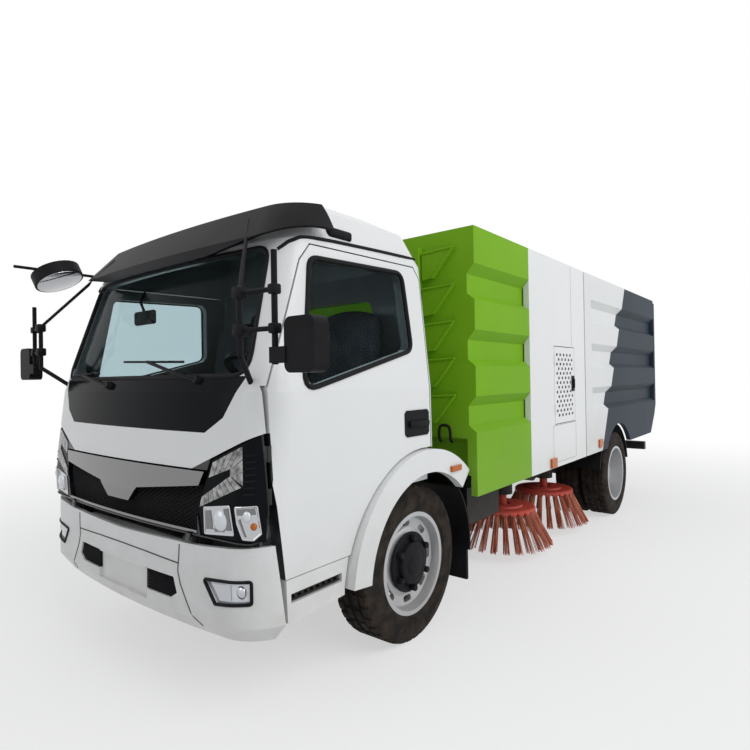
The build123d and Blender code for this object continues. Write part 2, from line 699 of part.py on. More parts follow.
# Perforated hatches
hatch_columns = 5
hatch_rows = 7
hatch_pitch = 70
hatch_sheet = 4
hatch_mid = ((hatch_x[0] + hatch_x[1]) / 2, (hatch_z[0] + hatch_z[1]) / 2)
with BuildPart() as hatch_left:
    block(hatch_x, (box_half - wall, box_half), hatch_z)
    block((hatch_x[0] + 25, hatch_x[1] - 25), (box_half - wall - 5, box_half - hatch_sheet),
          (hatch_z[0] + 25, hatch_z[1] - 25), mode=Mode.SUBTRACT)
    with BuildSketch(Plane.XZ.offset(-1100)):
        for shift in (-hatch_pitch / 4, hatch_pitch / 4):
            with Locations((hatch_mid[0] + shift, hatch_mid[1] + shift)):
                with GridLocations(hatch_pitch, hatch_pitch, hatch_columns, hatch_rows):
                    Rectangle(30, 20)
    extrude(amount=300, mode=Mode.SUBTRACT)
    for z in hatch_hinge_z:
        rod((hatch_x[1] + gap / 2, box_half + 2, z[0] - 1), (hatch_x[1] + gap / 2, box_half + 2, z[1] + 1),
            hinge_radius + seat, mode=Mode.SUBTRACT)
save(hatch_left, "hatch_left")

with BuildPart() as hatch_right:
    mirror(hatch_left.part, about=Plane.XZ)
save(hatch_right, "hatch_right")

# Tipping bin, open at the rear, with skirts over the wheels
bin_rear_x = rear_end_x + 62
tailgate_pivot_z = box_top - 23
with BuildPart() as bin_body:
    side_prism([(bin_front_x, skirt_low), (bin_rear_x + 200, skirt_low), (bin_rear_x, 900), (bin_rear_x, box_top),
                (bin_front_x, box_top)], (-box_half, box_half))
    block((bin_rear_x - 5, bin_front_x + 5), (wall - box_half, box_half - wall), (skirt_low - 5, bin_floor_low),
          mode=Mode.SUBTRACT)
    block((bin_rear_x - 5, bin_front_x - wall), (rib_depth + wall - box_half, box_half - rib_depth - wall),
          (bin_floor_low + wall, box_top - wall), mode=Mode.SUBTRACT)
    rib_cut((bin_rear_x - 5, ax - 2500))
    with Locations((rear_axle_x, 0, hub_z)):
        Cylinder(490, 2200, rotation=(90, 0, 0), mode=Mode.SUBTRACT)
    for side in (-1, 1):
        block((rail_rear_x + 60, bin_front_x - 20), (side * 280, side * 340), (subframe_top, bin_floor_low + 5))
        block((bin_pivot_x, rail_rear_x + 61), (side * 282, side * 339), (bin_pivot_z - 18, bin_floor_low + 5))
        rod((bin_pivot_x, side * 282, bin_pivot_z), (bin_pivot_x, side * 339, bin_pivot_z), 19)
        rod((bin_pivot_x, side * 270, bin_pivot_z), (bin_pivot_x, side * 345, bin_pivot_z), 14 + seat, mode=Mode.SUBTRACT)
    for y in (-700, 600):
        rod((bin_rear_x - 1, y, tailgate_pivot_z), (bin_rear_x - 1, y + 100, tailgate_pivot_z), hinge_radius)
save(bin_body, "bin_body")

with BuildPart() as tailgate:
    side_prism([(rear_end_x, 1010), (rear_end_x, 2200), (bin_rear_x - 2, 2205), (bin_rear_x - 2, 905)],
               (-box_half, box_half))
    for y in (-640, 0, 640):
        block((rear_end_x, rear_end_x + 22), (y - 230, y + 230), (1150, 2080), mode=Mode.SUBTRACT)
    for y in (-700, 600):
        rod((bin_rear_x - 1, y - 1, tailgate_pivot_z), (bin_rear_x - 1, y + 101, tailgate_pivot_z), hinge_radius + seat,
            mode=Mode.SUBTRACT)
save(tailgate, "tailgate")

# Brushes on swinging arms
tuft_count = 24
for row, x in (("front", brush_front_x), ("rear", brush_front_x - brush_pitch)):
    for hand, side in (("left", 1), ("right", -1)):
        y = side * brush_y
        with BuildPart() as brush:
            with Locations((x, y, plate_z + 10)):
                Cylinder(plate_radius, 20)
            with Locations((x, y, plate_z + 60)):
                Cylinder(34, 100)
            with BuildPart(mode=Mode.PRIVATE) as tuft:
                with BuildSketch(Plane.XY.offset(plate_z + 2)):
                    with Locations((plate_radius - 25, 0)):
                        Rectangle(40, 46)
                with BuildSketch(Plane.XY.offset(brush_tip_z)):
                    with Locations((brush_radius - 30, 0)):
                        Rectangle(50, 78)
                loft(ruled=True)
            with Locations((x, y, 0)):
                with PolarLocations(0, tuft_count):
                    add(tuft.part)
        save(brush, "brush_" + row + "_" + hand)
        with BuildPart() as arm:
            with Locations((x, y, plate_z + 110 + seat + 39)):
                Cylinder(78, 78)
            with BuildSketch(Plane.XY.offset(plate_z + 125)):
                with BuildLine():
                    px = x + arm_dx
                    py = side * (brush_y - arm_dy)
                    Polyline((x, y - 40), (x, y + 40), (px, py + 40), (px, py - 40), close=True)
                make_face()
                with Locations((px, py)):
                    Circle(42)
            extrude(amount=44)
            with Locations((px, py, plate_z + 190)):
                Cylinder(20, 60)
        save(arm, "arm_" + row + "_" + hand)

# Suction nozzle between the brushes
nozzle_x = (ax - 2230, ax - 1930)
with BuildPart() as suction_nozzle:
    block(nozzle_x, (-140, 140), (brush_tip_z, 330))
    rod((nozzle_x[1] - 150, 140, 320), (nozzle_x[1] - 150, 140, subframe_top - seat), 80)
save(suction_nozzle, "suction_nozzle")

# Side lamps on housing, bin and flares
for name, x, z in (("side_lamps", ax - 1570, 727), ("bin_lamps", ax - 2690, 757)):
    with BuildPart() as lamps:
        for side in (-1, 1):
            block((x - 50, x + 50), (side * (box_half + seat), side * (box_half + 16)), (z - 34, z + 34))
    save(lamps, name)

with BuildPart() as turn_lamps:
    for side in (-1, 1):
        block((ax - 300, ax - 200), (side * (flare_y[1] + seat), side * (flare_y[1] + 14)), (855, 885))
save(turn_lamps, "turn_lamps")

# Wheels
tyre_profile = [(-95, bead_radius), (95, bead_radius), (tyre_half, 325), (92, tyre_radius), (-92, tyre_radius),
                (-tyre_half, 325)]
lip = 99
hub_bore = 32 + seat
front_rim_profile = [(-lip - 6, flange_radius), (-lip, flange_radius), (-lip, bead_radius - seat),
                     (lip, bead_radius - seat), (lip, flange_radius), (lip + 6, flange_radius), (lip + 6, 240),
                     (60, 225), (48, 175), (66, 110), (66, hub_bore), (-20, hub_bore), (-20, 105), (30, 105),
                     (30, 228), (-lip - 6, 240)]
rear_rim_profile = [(-lip - 6, flange_radius), (-lip, flange_radius), (-lip, bead_radius - seat),
                    (lip, bead_radius - seat), (lip, flange_radius), (lip + 6, flange_radius), (lip + 6, 240),
                    (-60, 225), (-75, 150), (-75, 100), (-108, 100), (-108, 228), (-lip - 6, 240)]

for hand, side in (("left", 1), ("right", -1)):
    y = side * front_wheel_y
    with BuildPart() as tyre:
        turned(ax, y, side, tyre_profile)
    save(tyre, "front_tyre_" + hand)
    with BuildPart() as rim:
        turned(ax, y, side, front_rim_profile)
        with BuildSketch(Plane(origin=(ax, y, hub_z), x_dir=(1, 0, 0), z_dir=(0, side, 0))):
            with PolarLocations(196, 8):
                SlotOverall(66, 30, rotation=90)
        extrude(amount=120, mode=Mode.SUBTRACT)
        with Locations((ax, side * (front_wheel_y + 85), hub_z)):
            Cylinder(105, 40, rotation=(90, 0, 0))
    save(rim, "front_rim_" + hand)
    with BuildPart() as tyres:
        turned(rear_axle_x, side * rear_outer_y, side, tyre_profile)
        turned(rear_axle_x, side * (rear_outer_y - dual_pitch), side, tyre_profile)
    save(tyres, "rear_tyres_" + hand)
    with BuildPart() as rims:
        turned(rear_axle_x, side * rear_outer_y, side, rear_rim_profile)
        turned(rear_axle_x, side * (rear_outer_y - dual_pitch), -side, rear_rim_profile)
        turned(rear_axle_x, side * (rear_outer_y - dual_pitch / 2), side,
               [(-30, spindle + seat), (-30, 170), (40, 170), (150, 90), (150, spindle + seat)])
    save(rims, "rear_rims_" + hand)
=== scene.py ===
# %% [markdown]
# # A street sweeper truck, dressed for the studio
# The solids of the truck are already built to size: a white light-truck cab, a green, white and slate-grey sweeper
# box behind it, and disc brushes underneath. In this lesson we load them as a fixed frame, give each a finish made of
# nodes, and model the small pieces that a maker would add last. The scene is in metres, with the front at +X, and
# outlines that are laid on a panel are written in millimetres.

# %% Load the frame
import functools
import math
import random

import bpy
from mathutils import Matrix, Vector


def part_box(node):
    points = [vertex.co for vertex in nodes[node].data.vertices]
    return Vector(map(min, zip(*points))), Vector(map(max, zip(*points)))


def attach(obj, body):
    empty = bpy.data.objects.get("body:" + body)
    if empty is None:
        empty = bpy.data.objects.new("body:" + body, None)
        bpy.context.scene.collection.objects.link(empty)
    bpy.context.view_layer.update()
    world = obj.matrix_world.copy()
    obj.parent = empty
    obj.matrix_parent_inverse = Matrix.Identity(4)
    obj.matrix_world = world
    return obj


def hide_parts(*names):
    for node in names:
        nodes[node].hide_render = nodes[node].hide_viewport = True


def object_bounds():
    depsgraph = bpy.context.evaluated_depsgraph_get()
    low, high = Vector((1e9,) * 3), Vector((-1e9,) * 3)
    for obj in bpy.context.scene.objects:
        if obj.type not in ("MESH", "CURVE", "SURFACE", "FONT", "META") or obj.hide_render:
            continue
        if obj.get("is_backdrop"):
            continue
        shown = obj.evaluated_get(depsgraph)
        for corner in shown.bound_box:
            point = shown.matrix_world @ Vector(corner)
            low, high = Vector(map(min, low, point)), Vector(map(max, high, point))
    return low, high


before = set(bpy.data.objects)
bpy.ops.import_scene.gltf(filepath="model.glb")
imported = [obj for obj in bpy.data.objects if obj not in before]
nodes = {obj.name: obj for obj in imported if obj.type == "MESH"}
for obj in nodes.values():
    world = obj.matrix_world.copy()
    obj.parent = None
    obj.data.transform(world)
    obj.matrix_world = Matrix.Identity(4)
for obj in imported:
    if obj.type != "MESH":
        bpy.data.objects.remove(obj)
cad_low, cad_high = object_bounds()
print("nodes loaded:", len(nodes), "size:", [round(b - a, 3) for a, b in zip(cad_low, cad_high)])

# %% [markdown]
# ## The camera
# The photograph was taken from close by, ahead of the left corner, at about the height of the windscreen's foot. A wide
# lens close to the truck makes the cab large and the box run away to the right. The place and the lens came from
# fitting a dozen corners of the truck. A camera looks along its own -Z, so its matrix has right, up and backwards as
# columns.

# %% Camera
CAMERA_PLACE = (4.1385, 2.507, 1.368)
CAMERA_YAW, CAMERA_PITCH, CAMERA_ROLL = 38.87, 0.31, -0.93
SENSOR, PICTURE, FOCAL_PIXELS = 36, 750, 547.9
CAMERA_LENS = FOCAL_PIXELS * SENSOR / PICTURE


def camera_turn(yaw, pitch, roll):
    yaw, pitch, roll = math.radians(yaw), math.radians(pitch), math.radians(roll)
    ahead = Vector((-math.cos(yaw) * math.cos(pitch), -math.sin(yaw) * math.cos(pitch), math.sin(pitch)))
    right = ahead.cross(Vector((0, 0, 1))).normalized()
    up = right.cross(ahead)
    level_right = math.cos(roll) * right + math.sin(roll) * up
    level_up = math.cos(roll) * up - math.sin(roll) * right
    return Matrix((level_right, level_up, -ahead)).transposed()


bpy.ops.object.camera_add(location=CAMERA_PLACE)
camera = bpy.context.object
camera.rotation_mode = "QUATERNION"
camera.rotation_quaternion = camera_turn(CAMERA_YAW, CAMERA_PITCH, CAMERA_ROLL).to_quaternion()
camera.data.sensor_width = SENSOR
camera.data.lens = CAMERA_LENS
camera.data.clip_end = 200
bpy.context.scene.camera = camera
print("camera at", CAMERA_PLACE, "lens", round(CAMERA_LENS, 2))

# %% [markdown]
# ## Nodes
# Sky, floor and finishes are all made of shader nodes. Adding a node with its values, joining two sockets and doing a
# sum are what we need again and again, so each gets a short helper.

# %% Node helpers
def add_node(made, kind, inputs=None, **values):
    """A new node in a material or a sky, with plain values on some of its sockets."""
    node = made.node_tree.nodes.new(kind)
    for key, value in values.items():
        setattr(node, key, value)
    for socket, value in (inputs or {}).items():
        node.inputs[socket].default_value = value
    return node


def wire(made, source, target):
    made.node_tree.links.new(source, target)


def math_node(made, operation, first, second=None, clamp=False):
    node = add_node(made, "ShaderNodeMath", operation=operation, use_clamp=clamp)
    for socket, value in zip(node.inputs, (first, second)):
        if isinstance(value, (int, float)):
            socket.default_value = value
        elif value is not None:
            wire(made, value, socket)
    return node.outputs["Value"]


def mix_shaders(made, share, first, second, output):
    """Two shaders mixed into the last node of a tree."""
    node = add_node(made, "ShaderNodeMixShader")
    for source, socket in zip((share, first.outputs[0], second.outputs[0]), node.inputs):
        wire(made, source, socket)
    wire(made, node.outputs[0], made.node_tree.nodes[output].inputs["Surface"])


def shader_of(made):
    return made.node_tree.nodes["Principled BSDF"]


# %% [markdown]
# ## Floor and light
# The truck stands on a plain pale floor. To the camera, and in mirrors and glass, the sky is white, and the floor glows
# into it: a little near the truck, where its shadow has to stay, and fully far away, so that no horizon shows. The
# lamps stay at a level at which a colour renders about as it is written. One broad lamp from the left front models the
# cab.

# %% Floor, sky and lamps
scene = bpy.context.scene
scene.view_settings.view_transform = "Standard"

SKY_TINT, SKY_FILL = (0.93, 0.96, 1.0, 1), 0.40
FULL_WHITE = (1, 1, 1, 1)
FLOOR_SIZE, FLOOR_GREY = 120, (0.86, 0.86, 0.86, 1)
# The floor's glow: near and far from the truck, as metres and share
GLOW_NEAR, GLOW_FAR = (1.5, 0.55), (9.0, 1.0)


def ray_kind(made):
    """One where a ray comes from the camera, a mirror or a glass."""
    path = add_node(made, "ShaderNodeLightPath")
    value = path.outputs["Is Camera Ray"]
    for kind in ("Is Glossy Ray", "Is Transmission Ray"):
        value = math_node(made, "MAXIMUM", value, path.outputs[kind])
    return value


sky = bpy.data.worlds.new("studio_sky")
scene.world = sky
sky.use_nodes = True
fill = sky.node_tree.nodes["Background"]
fill.inputs["Color"].default_value = SKY_TINT
fill.inputs["Strength"].default_value = SKY_FILL
seen = add_node(sky, "ShaderNodeBackground", {"Color": FULL_WHITE, "Strength": 1.0})
mix_shaders(sky, ray_kind(sky), fill, seen, "World Output")

bpy.ops.mesh.primitive_plane_add(size=FLOOR_SIZE, location=(0, 0, cad_low.z))
floor = bpy.context.object
floor.name = "studio_floor"
pale = bpy.data.materials.new("pale_floor")
pale.use_nodes = True
shader_of(pale).inputs["Base Color"].default_value = FLOOR_GREY
shader_of(pale).inputs["Roughness"].default_value = 0.85
glow = add_node(pale, "ShaderNodeEmission", {"Color": FULL_WHITE})
reach = add_node(pale, "ShaderNodeVectorMath", operation="LENGTH")
wire(pale, add_node(pale, "ShaderNodeTexCoord").outputs["Object"], reach.inputs[0])
fade = add_node(pale, "ShaderNodeMapRange", {"From Min": GLOW_NEAR[0], "From Max": GLOW_FAR[0], "To Min": GLOW_NEAR[1],
                                             "To Max": GLOW_FAR[1]}, interpolation_type="SMOOTHSTEP")
wire(pale, reach.outputs["Value"], fade.inputs["Value"])
share = math_node(pale, "MULTIPLY", fade.outputs["Result"], ray_kind(pale))
mix_shaders(pale, share, shader_of(pale), glow, "Material Output")
floor.data.materials.append(pale)
floor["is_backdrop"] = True

# columns: name, place, aim, size, power
LAMPS = [
    ("key_lamp", (3.6, 9.0, 8.0), (0.8, 0.4, 1.2), 6.0, 430),
    ("side_lamp", (-3.0, 9.0, 6.0), (-0.8, 0.6, 1.2), 7.0, 200),
    ("front_lamp", (9.5, -3.0, 4.5), (2.6, 0.0, 1.3), 5.0, 70),
]
for name, place, aim, size, power in LAMPS:
    bpy.ops.object.light_add(type="AREA", location=place)
    lamp = bpy.context.object
    lamp.name = name
    lamp.data.size = size
    lamp.data.energy = power
    lamp.rotation_mode = "QUATERNION"
    lamp.rotation_quaternion = (Vector(aim) - Vector(place)).to_track_quat("-Z", "Y")
print("lamps:", len(LAMPS))

# %% [markdown]
# ## Finishes
# Each finish is one material made of nodes. A small set of helpers covers most of them: a base with its shader values,
# a slow change of colour over the surface, a fine grain as bump, and dust that grows towards the ground. The patterns
# read Object coordinates, and every piece keeps its object at the origin, so a pattern has the same scale everywhere.

# %% Finish helpers
COAT_ROUGHNESS = 0.08


def base_finish(name, colour, roughness, metallic=0.0, coat=0.0, gloss=0.5):
    made = bpy.data.materials.new(name)
    made.use_nodes = True
    values = {"Base Color": (*colour, 1), "Roughness": roughness, "Metallic": metallic, "Specular IOR Level": gloss,
              "Coat Weight": coat, "Coat Roughness": COAT_ROUGHNESS}
    for socket, value in values.items():
        shader_of(made).inputs[socket].default_value = value
    return made


def object_place(made):
    return add_node(made, "ShaderNodeTexCoord").outputs["Object"]


def noise(made, scale, detail=3.0, stretch=(1, 1, 1)):
    mapping = add_node(made, "ShaderNodeMapping", {"Scale": stretch})
    wire(made, object_place(made), mapping.inputs["Vector"])
    texture = add_node(made, "ShaderNodeTexNoise", {"Scale": scale, "Detail": detail})
    wire(made, mapping.outputs["Vector"], texture.inputs["Vector"])
    return texture.outputs["Fac"]


def ramp(made, value, stops):
    node = add_node(made, "ShaderNodeValToRGB")
    while len(node.color_ramp.elements) < len(stops):
        node.color_ramp.elements.new(1.0)
    for element, (place, colour) in zip(node.color_ramp.elements, stops):
        element.position = place
        element.color = (*colour, 1)
    wire(made, value, node.inputs["Fac"])
    return node.outputs["Color"]


def mix_colour(made, factor, first, second):
    node = add_node(made, "ShaderNodeMix", data_type="RGBA")
    for socket, value in ((node.inputs[0], factor), (node.inputs[6], first), (node.inputs[7], second)):
        if isinstance(value, tuple):
            socket.default_value = (*value, 1)
        else:
            wire(made, value, socket)
    return node.outputs[2]


def mottled(made, scale, low, high, stops=(0.3, 0.7), detail=3.0, stretch=(1, 1, 1)):
    """Two colours in soft patches."""
    colour = ramp(made, noise(made, scale, detail, stretch), list(zip(stops, (low, high))))
    wire(made, colour, shader_of(made).inputs["Base Color"])


def add_grain(made, scale, strength, distance=0.001):
    bump = add_node(made, "ShaderNodeBump", {"Strength": strength, "Distance": distance})
    wire(made, noise(made, scale, 4.0), bump.inputs["Height"])
    wire(made, bump.outputs["Normal"], shader_of(made).inputs["Normal"])


def vary_roughness(made, scale, low, high):
    value = add_node(made, "ShaderNodeMapRange", {"To Min": low, "To Max": high})
    wire(made, noise(made, scale), value.inputs["Value"])
    wire(made, value.outputs["Result"], shader_of(made).inputs["Roughness"])


def split_place(made):
    """The X, Y and Z of a place on the piece."""
    split = add_node(made, "ShaderNodeSeparateXYZ")
    wire(made, object_place(made), split.inputs["Vector"])
    return [split.outputs[axis] for axis in "XYZ"]


def height_fade(made, clean_z, dirty_z):
    """One at dirty_z and below, nought at clean_z and above."""
    span = {"From Min": dirty_z, "From Max": clean_z, "To Min": 1.0, "To Max": 0.0}
    value = add_node(made, "ShaderNodeMapRange", span)
    wire(made, split_place(made)[2], value.inputs["Value"])
    return value.outputs["Result"]


def linear(made, value, slope, start):
    """slope times value plus start."""
    total = math_node(made, "MULTIPLY_ADD", value, slope)
    total.node.inputs[2].default_value = start
    return total


def worn_colour(made, clean, dusty, dust_from, dust_to, amount, patches=0.06):
    """Clean colour with slow patches, and dust that grows towards the ground."""
    shade = tuple(c * (1 - patches) for c in clean)
    body = ramp(made, noise(made, 1.6), [(0.35, shade), (0.65, clean)])
    speckle = math_node(made, "MULTIPLY", noise(made, 9.0, 6.0), height_fade(made, dust_from, dust_to))
    dust = math_node(made, "MULTIPLY", speckle, amount, clamp=True)
    colour = mix_colour(made, dust, body, dusty)
    wire(made, colour, shader_of(made).inputs["Base Color"])
    return colour


# %% [markdown]
# ## Paints
# The cab is a plain gloss white with a clear coat. Inside, the same panels have a grey lining, and since shell and
# doors are solid panels, the lining is chosen by the way a face looks: towards the middle of the cab or away from it.
# The way is read in the piece's own space, so that a door keeps its paint when it swings. Round the grille and the
# lamps the skin is black. Behind the lamps the doors' front edges and hinge pins are black too, as painted shade in the
# gap. The box wears a lime green, a white and a slate grey, and on the bin the last two meet on a slanted line.

# %% Cab and box paints
ROAD_DUST = (0.36, 0.30, 0.23)
WHITE = (0.80, 0.81, 0.81)
GREEN = (0.205, 0.455, 0.014)
SLATE = (0.036, 0.050, 0.066)
CAB_MIDDLE = Vector((2.30, 0.0, 1.35))
# Black surround of grille and headlamps: lower than a line that rises from the grille's top to the lamps' outer corner
GRILLE_TOP, LAMP_TOP, SURROUND_X = 1.0165, 1.1655, 2.7905
LAMP_CORNER, LAMP_SLOPE = (0.650, 1.0625), 0.4292
# Black of the surround, and the painted shade on the doors' front edges and hinge pins
SURROUND_AND_GAP_SHADE_BLACK = (0.010, 0.010, 0.011)
# Front edges of the doors and their hinge pins, black behind the lamps as painted shade in the gap: faces that look
# ahead, further out than EDGE_Y
DOOR_EDGE_X, EDGE_Y, LOOKS_AHEAD = 2.8005, 0.86, 0.85
PIN_X, PIN_Y = 2.781, 0.9145
LOOKS_IN = -0.12

white_paint = base_finish("gloss_white_paint", WHITE, 0.36, coat=0.15, gloss=0.35)
worn_colour(white_paint, WHITE, ROAD_DUST, 0.9, 0.35, 0.5, 0.025)
add_grain(white_paint, 260, 0.04)

cab_paint = base_finish("white_cab_paint_lining_and_gap_shade", WHITE, 0.34, coat=0.2, gloss=0.35)
outer = worn_colour(cab_paint, WHITE, ROAD_DUST, 0.8, 0.4, 0.35, 0.02)
calc = functools.partial(math_node, cab_paint)
way = add_node(cab_paint, "ShaderNodeVectorTransform", vector_type="NORMAL", convert_from="WORLD", convert_to="OBJECT")
wire(cab_paint, add_node(cab_paint, "ShaderNodeNewGeometry").outputs["True Normal"], way.inputs["Vector"])
facing = add_node(cab_paint, "ShaderNodeVectorMath", {1: CAB_MIDDLE}, operation="SUBTRACT")
wire(cab_paint, object_place(cab_paint), facing.inputs[0])
dot = add_node(cab_paint, "ShaderNodeVectorMath", operation="DOT_PRODUCT")
wire(cab_paint, facing.outputs["Vector"], dot.inputs[0])
wire(cab_paint, way.outputs["Vector"], dot.inputs[1])
inward = calc("LESS_THAN", dot.outputs["Value"], LOOKS_IN)
lining = ramp(cab_paint, noise(cab_paint, 120, 5.0), [(0.3, (0.10, 0.105, 0.11)), (0.7, (0.16, 0.165, 0.17))])
dressed = mix_colour(cab_paint, inward, outer, lining)

ahead, across, height = split_place(cab_paint)
aside = calc("ABSOLUTE", across)
slant = linear(cab_paint, aside, LAMP_SLOPE, LAMP_CORNER[1] - LAMP_SLOPE * LAMP_CORNER[0])
brow = calc("MINIMUM", calc("MAXIMUM", slant, GRILLE_TOP), LAMP_TOP)
surround_and_gap_shade = calc("MULTIPLY", calc("LESS_THAN", height, brow), calc("GREATER_THAN", ahead, SURROUND_X))
turned_to = add_node(cab_paint, "ShaderNodeSeparateXYZ")
wire(cab_paint, way.outputs["Vector"], turned_to.inputs["Vector"])
# Painted shade: the doors' front edges and hinge pins behind the lamps turn black, as the gap there lies in shade
pin_painted_shade = calc("MULTIPLY", calc("GREATER_THAN", ahead, PIN_X), calc("LESS_THAN", aside, PIN_Y))
edge = calc("MAXIMUM", calc("GREATER_THAN", turned_to.outputs["X"], LOOKS_AHEAD), pin_painted_shade)
for limit in (calc("GREATER_THAN", aside, EDGE_Y), calc("LESS_THAN", ahead, DOOR_EDGE_X),
              calc("LESS_THAN", height, LAMP_TOP)):
    edge = calc("MULTIPLY", edge, limit)
surround_and_gap_shade = calc("MAXIMUM", surround_and_gap_shade, edge)
wire(cab_paint, mix_colour(cab_paint, surround_and_gap_shade, dressed, SURROUND_AND_GAP_SHADE_BLACK), shader_of(cab_paint).inputs["Base Color"])
add_grain(cab_paint, 240, 0.035)

green_paint = base_finish("lime_green_paint", GREEN, 0.45, gloss=0.08)
worn_colour(green_paint, GREEN, (0.30, 0.34, 0.16), 1.2, 0.6, 0.35, 0.10)
add_grain(green_paint, 200, 0.06)

slate_paint = base_finish("slate_grey_paint", SLATE, 0.5, gloss=0.06)
worn_colour(slate_paint, SLATE, (0.20, 0.20, 0.20), 1.3, 0.6, 0.4, 0.16)
add_grain(slate_paint, 200, 0.06)

# Slanted line between white and slate on the bin, as two points (x, z)
LINE_TOP, LINE_FOOT = (-1.80, 2.252), (-1.02, 0.773)
bin_paint = base_finish("white_and_slate_paint", WHITE, 0.5, gloss=0.07)
white_side = worn_colour(bin_paint, WHITE, ROAD_DUST, 1.1, 0.5, 0.4, 0.03)
slate_side = ramp(bin_paint, noise(bin_paint, 1.8), [(0.35, tuple(0.84 * c for c in SLATE)), (0.65, SLATE)])
slope = (LINE_FOOT[0] - LINE_TOP[0]) / (LINE_FOOT[1] - LINE_TOP[1])
ahead, across, height = split_place(bin_paint)
line_x = linear(bin_paint, height, slope, LINE_TOP[0] - slope * LINE_TOP[1])
behind = math_node(bin_paint, "LESS_THAN", ahead, line_x)
wire(bin_paint, mix_colour(bin_paint, behind, white_side, slate_side), shader_of(bin_paint).inputs["Base Color"])
add_grain(bin_paint, 200, 0.05)
print("paints:", white_paint.name, cab_paint.name, green_paint.name, slate_paint.name, bin_paint.name)

# %% [markdown]
# ## Plastics, metals, rubber and lenses
# Black trim is a moulded plastic with a fine leather grain, and the panel under the windscreen and the lamp units are
# glossy. The frame is satin black with dust on it. Rims are silver paint, the bar in the grille is smoked chrome, the
# lamp bowls and looking glasses are bright chrome, and the tyres are dry rubber, browned by dust.

# %% Other finishes
black_plastic = base_finish("grained_black_plastic", (0.012, 0.012, 0.013), 0.45, gloss=0.06)
mottled(black_plastic, 4.0, (0.008, 0.008, 0.009), (0.015, 0.015, 0.017))
add_grain(black_plastic, 420, 0.18, 0.0006)

gloss_black = base_finish("gloss_black_panel", (0.006, 0.007, 0.009), 0.12, gloss=0.04)
vary_roughness(gloss_black, 5.0, 0.08, 0.2)

frame_black = base_finish("satin_frame_black", (0.015, 0.015, 0.016), 0.5, gloss=0.14)
worn_colour(frame_black, (0.015, 0.015, 0.016), (0.10, 0.085, 0.068), 0.9, 0.2, 0.6, 0.3)
add_grain(frame_black, 150, 0.12)

iron = base_finish("oily_cast_iron", (0.09, 0.085, 0.08), 0.55, metallic=0.4)
worn_colour(iron, (0.085, 0.08, 0.078), (0.22, 0.18, 0.14), 0.9, 0.2, 0.6, 0.35)
add_grain(iron, 90, 0.3, 0.002)

rim_silver = base_finish("silver_wheel_paint", (0.50, 0.51, 0.53), 0.34, metallic=0.55)
worn_colour(rim_silver, (0.55, 0.56, 0.58), (0.32, 0.27, 0.22), 0.75, 0.1, 0.5, 0.12)
add_grain(rim_silver, 160, 0.08)

chrome = base_finish("bright_chrome", (0.50, 0.51, 0.53), 0.09, metallic=1.0)
vary_roughness(chrome, 7.0, 0.05, 0.13)
dull_chrome = base_finish("smoked_chrome", (0.20, 0.20, 0.205), 0.2, metallic=1.0)
vary_roughness(dull_chrome, 9.0, 0.12, 0.28)

tyre_rubber = base_finish("dusty_tyre_rubber", (0.022, 0.019, 0.017), 0.82, gloss=0.12)
mottled(tyre_rubber, 14, (0.014, 0.013, 0.012), (0.052, 0.038, 0.029), (0.38, 0.75), 6.0)
add_grain(tyre_rubber, 300, 0.25, 0.0008)

seal_rubber = base_finish("seal_rubber", (0.010, 0.010, 0.011), 0.62, gloss=0.12)
add_grain(seal_rubber, 500, 0.12, 0.0004)

panel_grey = base_finish("panel_joint_grey", (0.34, 0.34, 0.35), 0.7, gloss=0.1)
add_grain(panel_grey, 300, 0.1, 0.0004)
# Dark grey of the bumper's joints, and painted shade along the bumper's crease
joint_and_crease_shade_grey = base_finish("joint_shadow_grey", (0.10, 0.10, 0.105), 0.7, gloss=0.1)
add_grain(joint_and_crease_shade_grey, 300, 0.1, 0.0004)
seat_cloth = base_finish("woven_seat_cloth", (0.05, 0.054, 0.062), 0.9, gloss=0.1)
weave = add_node(seat_cloth, "ShaderNodeBump", {"Strength": 0.5, "Distance": 0.001})
threads = []
for direction in ("X", "Y"):
    thread = add_node(seat_cloth, "ShaderNodeTexWave", {"Scale": 90}, bands_direction=direction)
    wire(seat_cloth, object_place(seat_cloth), thread.inputs["Vector"])
    threads.append(thread.outputs["Fac"])
wire(seat_cloth, math_node(seat_cloth, "MULTIPLY", *threads), weave.inputs["Height"])
wire(seat_cloth, weave.outputs["Normal"], shader_of(seat_cloth).inputs["Normal"])
mottled(seat_cloth, 6.0, (0.035, 0.038, 0.045), (0.060, 0.064, 0.073))

lamp_clear = base_finish("clear_lens", (0.66, 0.69, 0.73), 0.08, metallic=0.35, coat=0.4)
vary_roughness(lamp_clear, 40.0, 0.04, 0.22)
band_clear = base_finish("clear_band_cells", (0.36, 0.36, 0.35), 0.22, coat=0.2)
mottled(band_clear, 38.0, (0.13, 0.13, 0.12), (0.52, 0.52, 0.50), (0.35, 0.65))
lamp_amber = base_finish("amber_lens", (0.48, 0.12, 0.008), 0.2, coat=0.1, gloss=0.25)
vary_roughness(lamp_amber, 60.0, 0.1, 0.28)
lamp_red = base_finish("red_lens", (0.55, 0.012, 0.012), 0.16, coat=0.6)
vary_roughness(lamp_red, 60.0, 0.1, 0.28)

brush_red = base_finish("brush_plate_red", (0.52, 0.035, 0.022), 0.5)
worn_colour(brush_red, (0.55, 0.04, 0.024), (0.36, 0.16, 0.10), 0.7, 0.1, 0.6, 0.25)
add_grain(brush_red, 120, 0.15)
bristle = base_finish("orange_red_bristle", (0.50, 0.10, 0.045), 0.6)
mottled(bristle, 26, (0.30, 0.050, 0.025), (0.62, 0.20, 0.11), detail=4.0, stretch=(1, 1, 0.15))

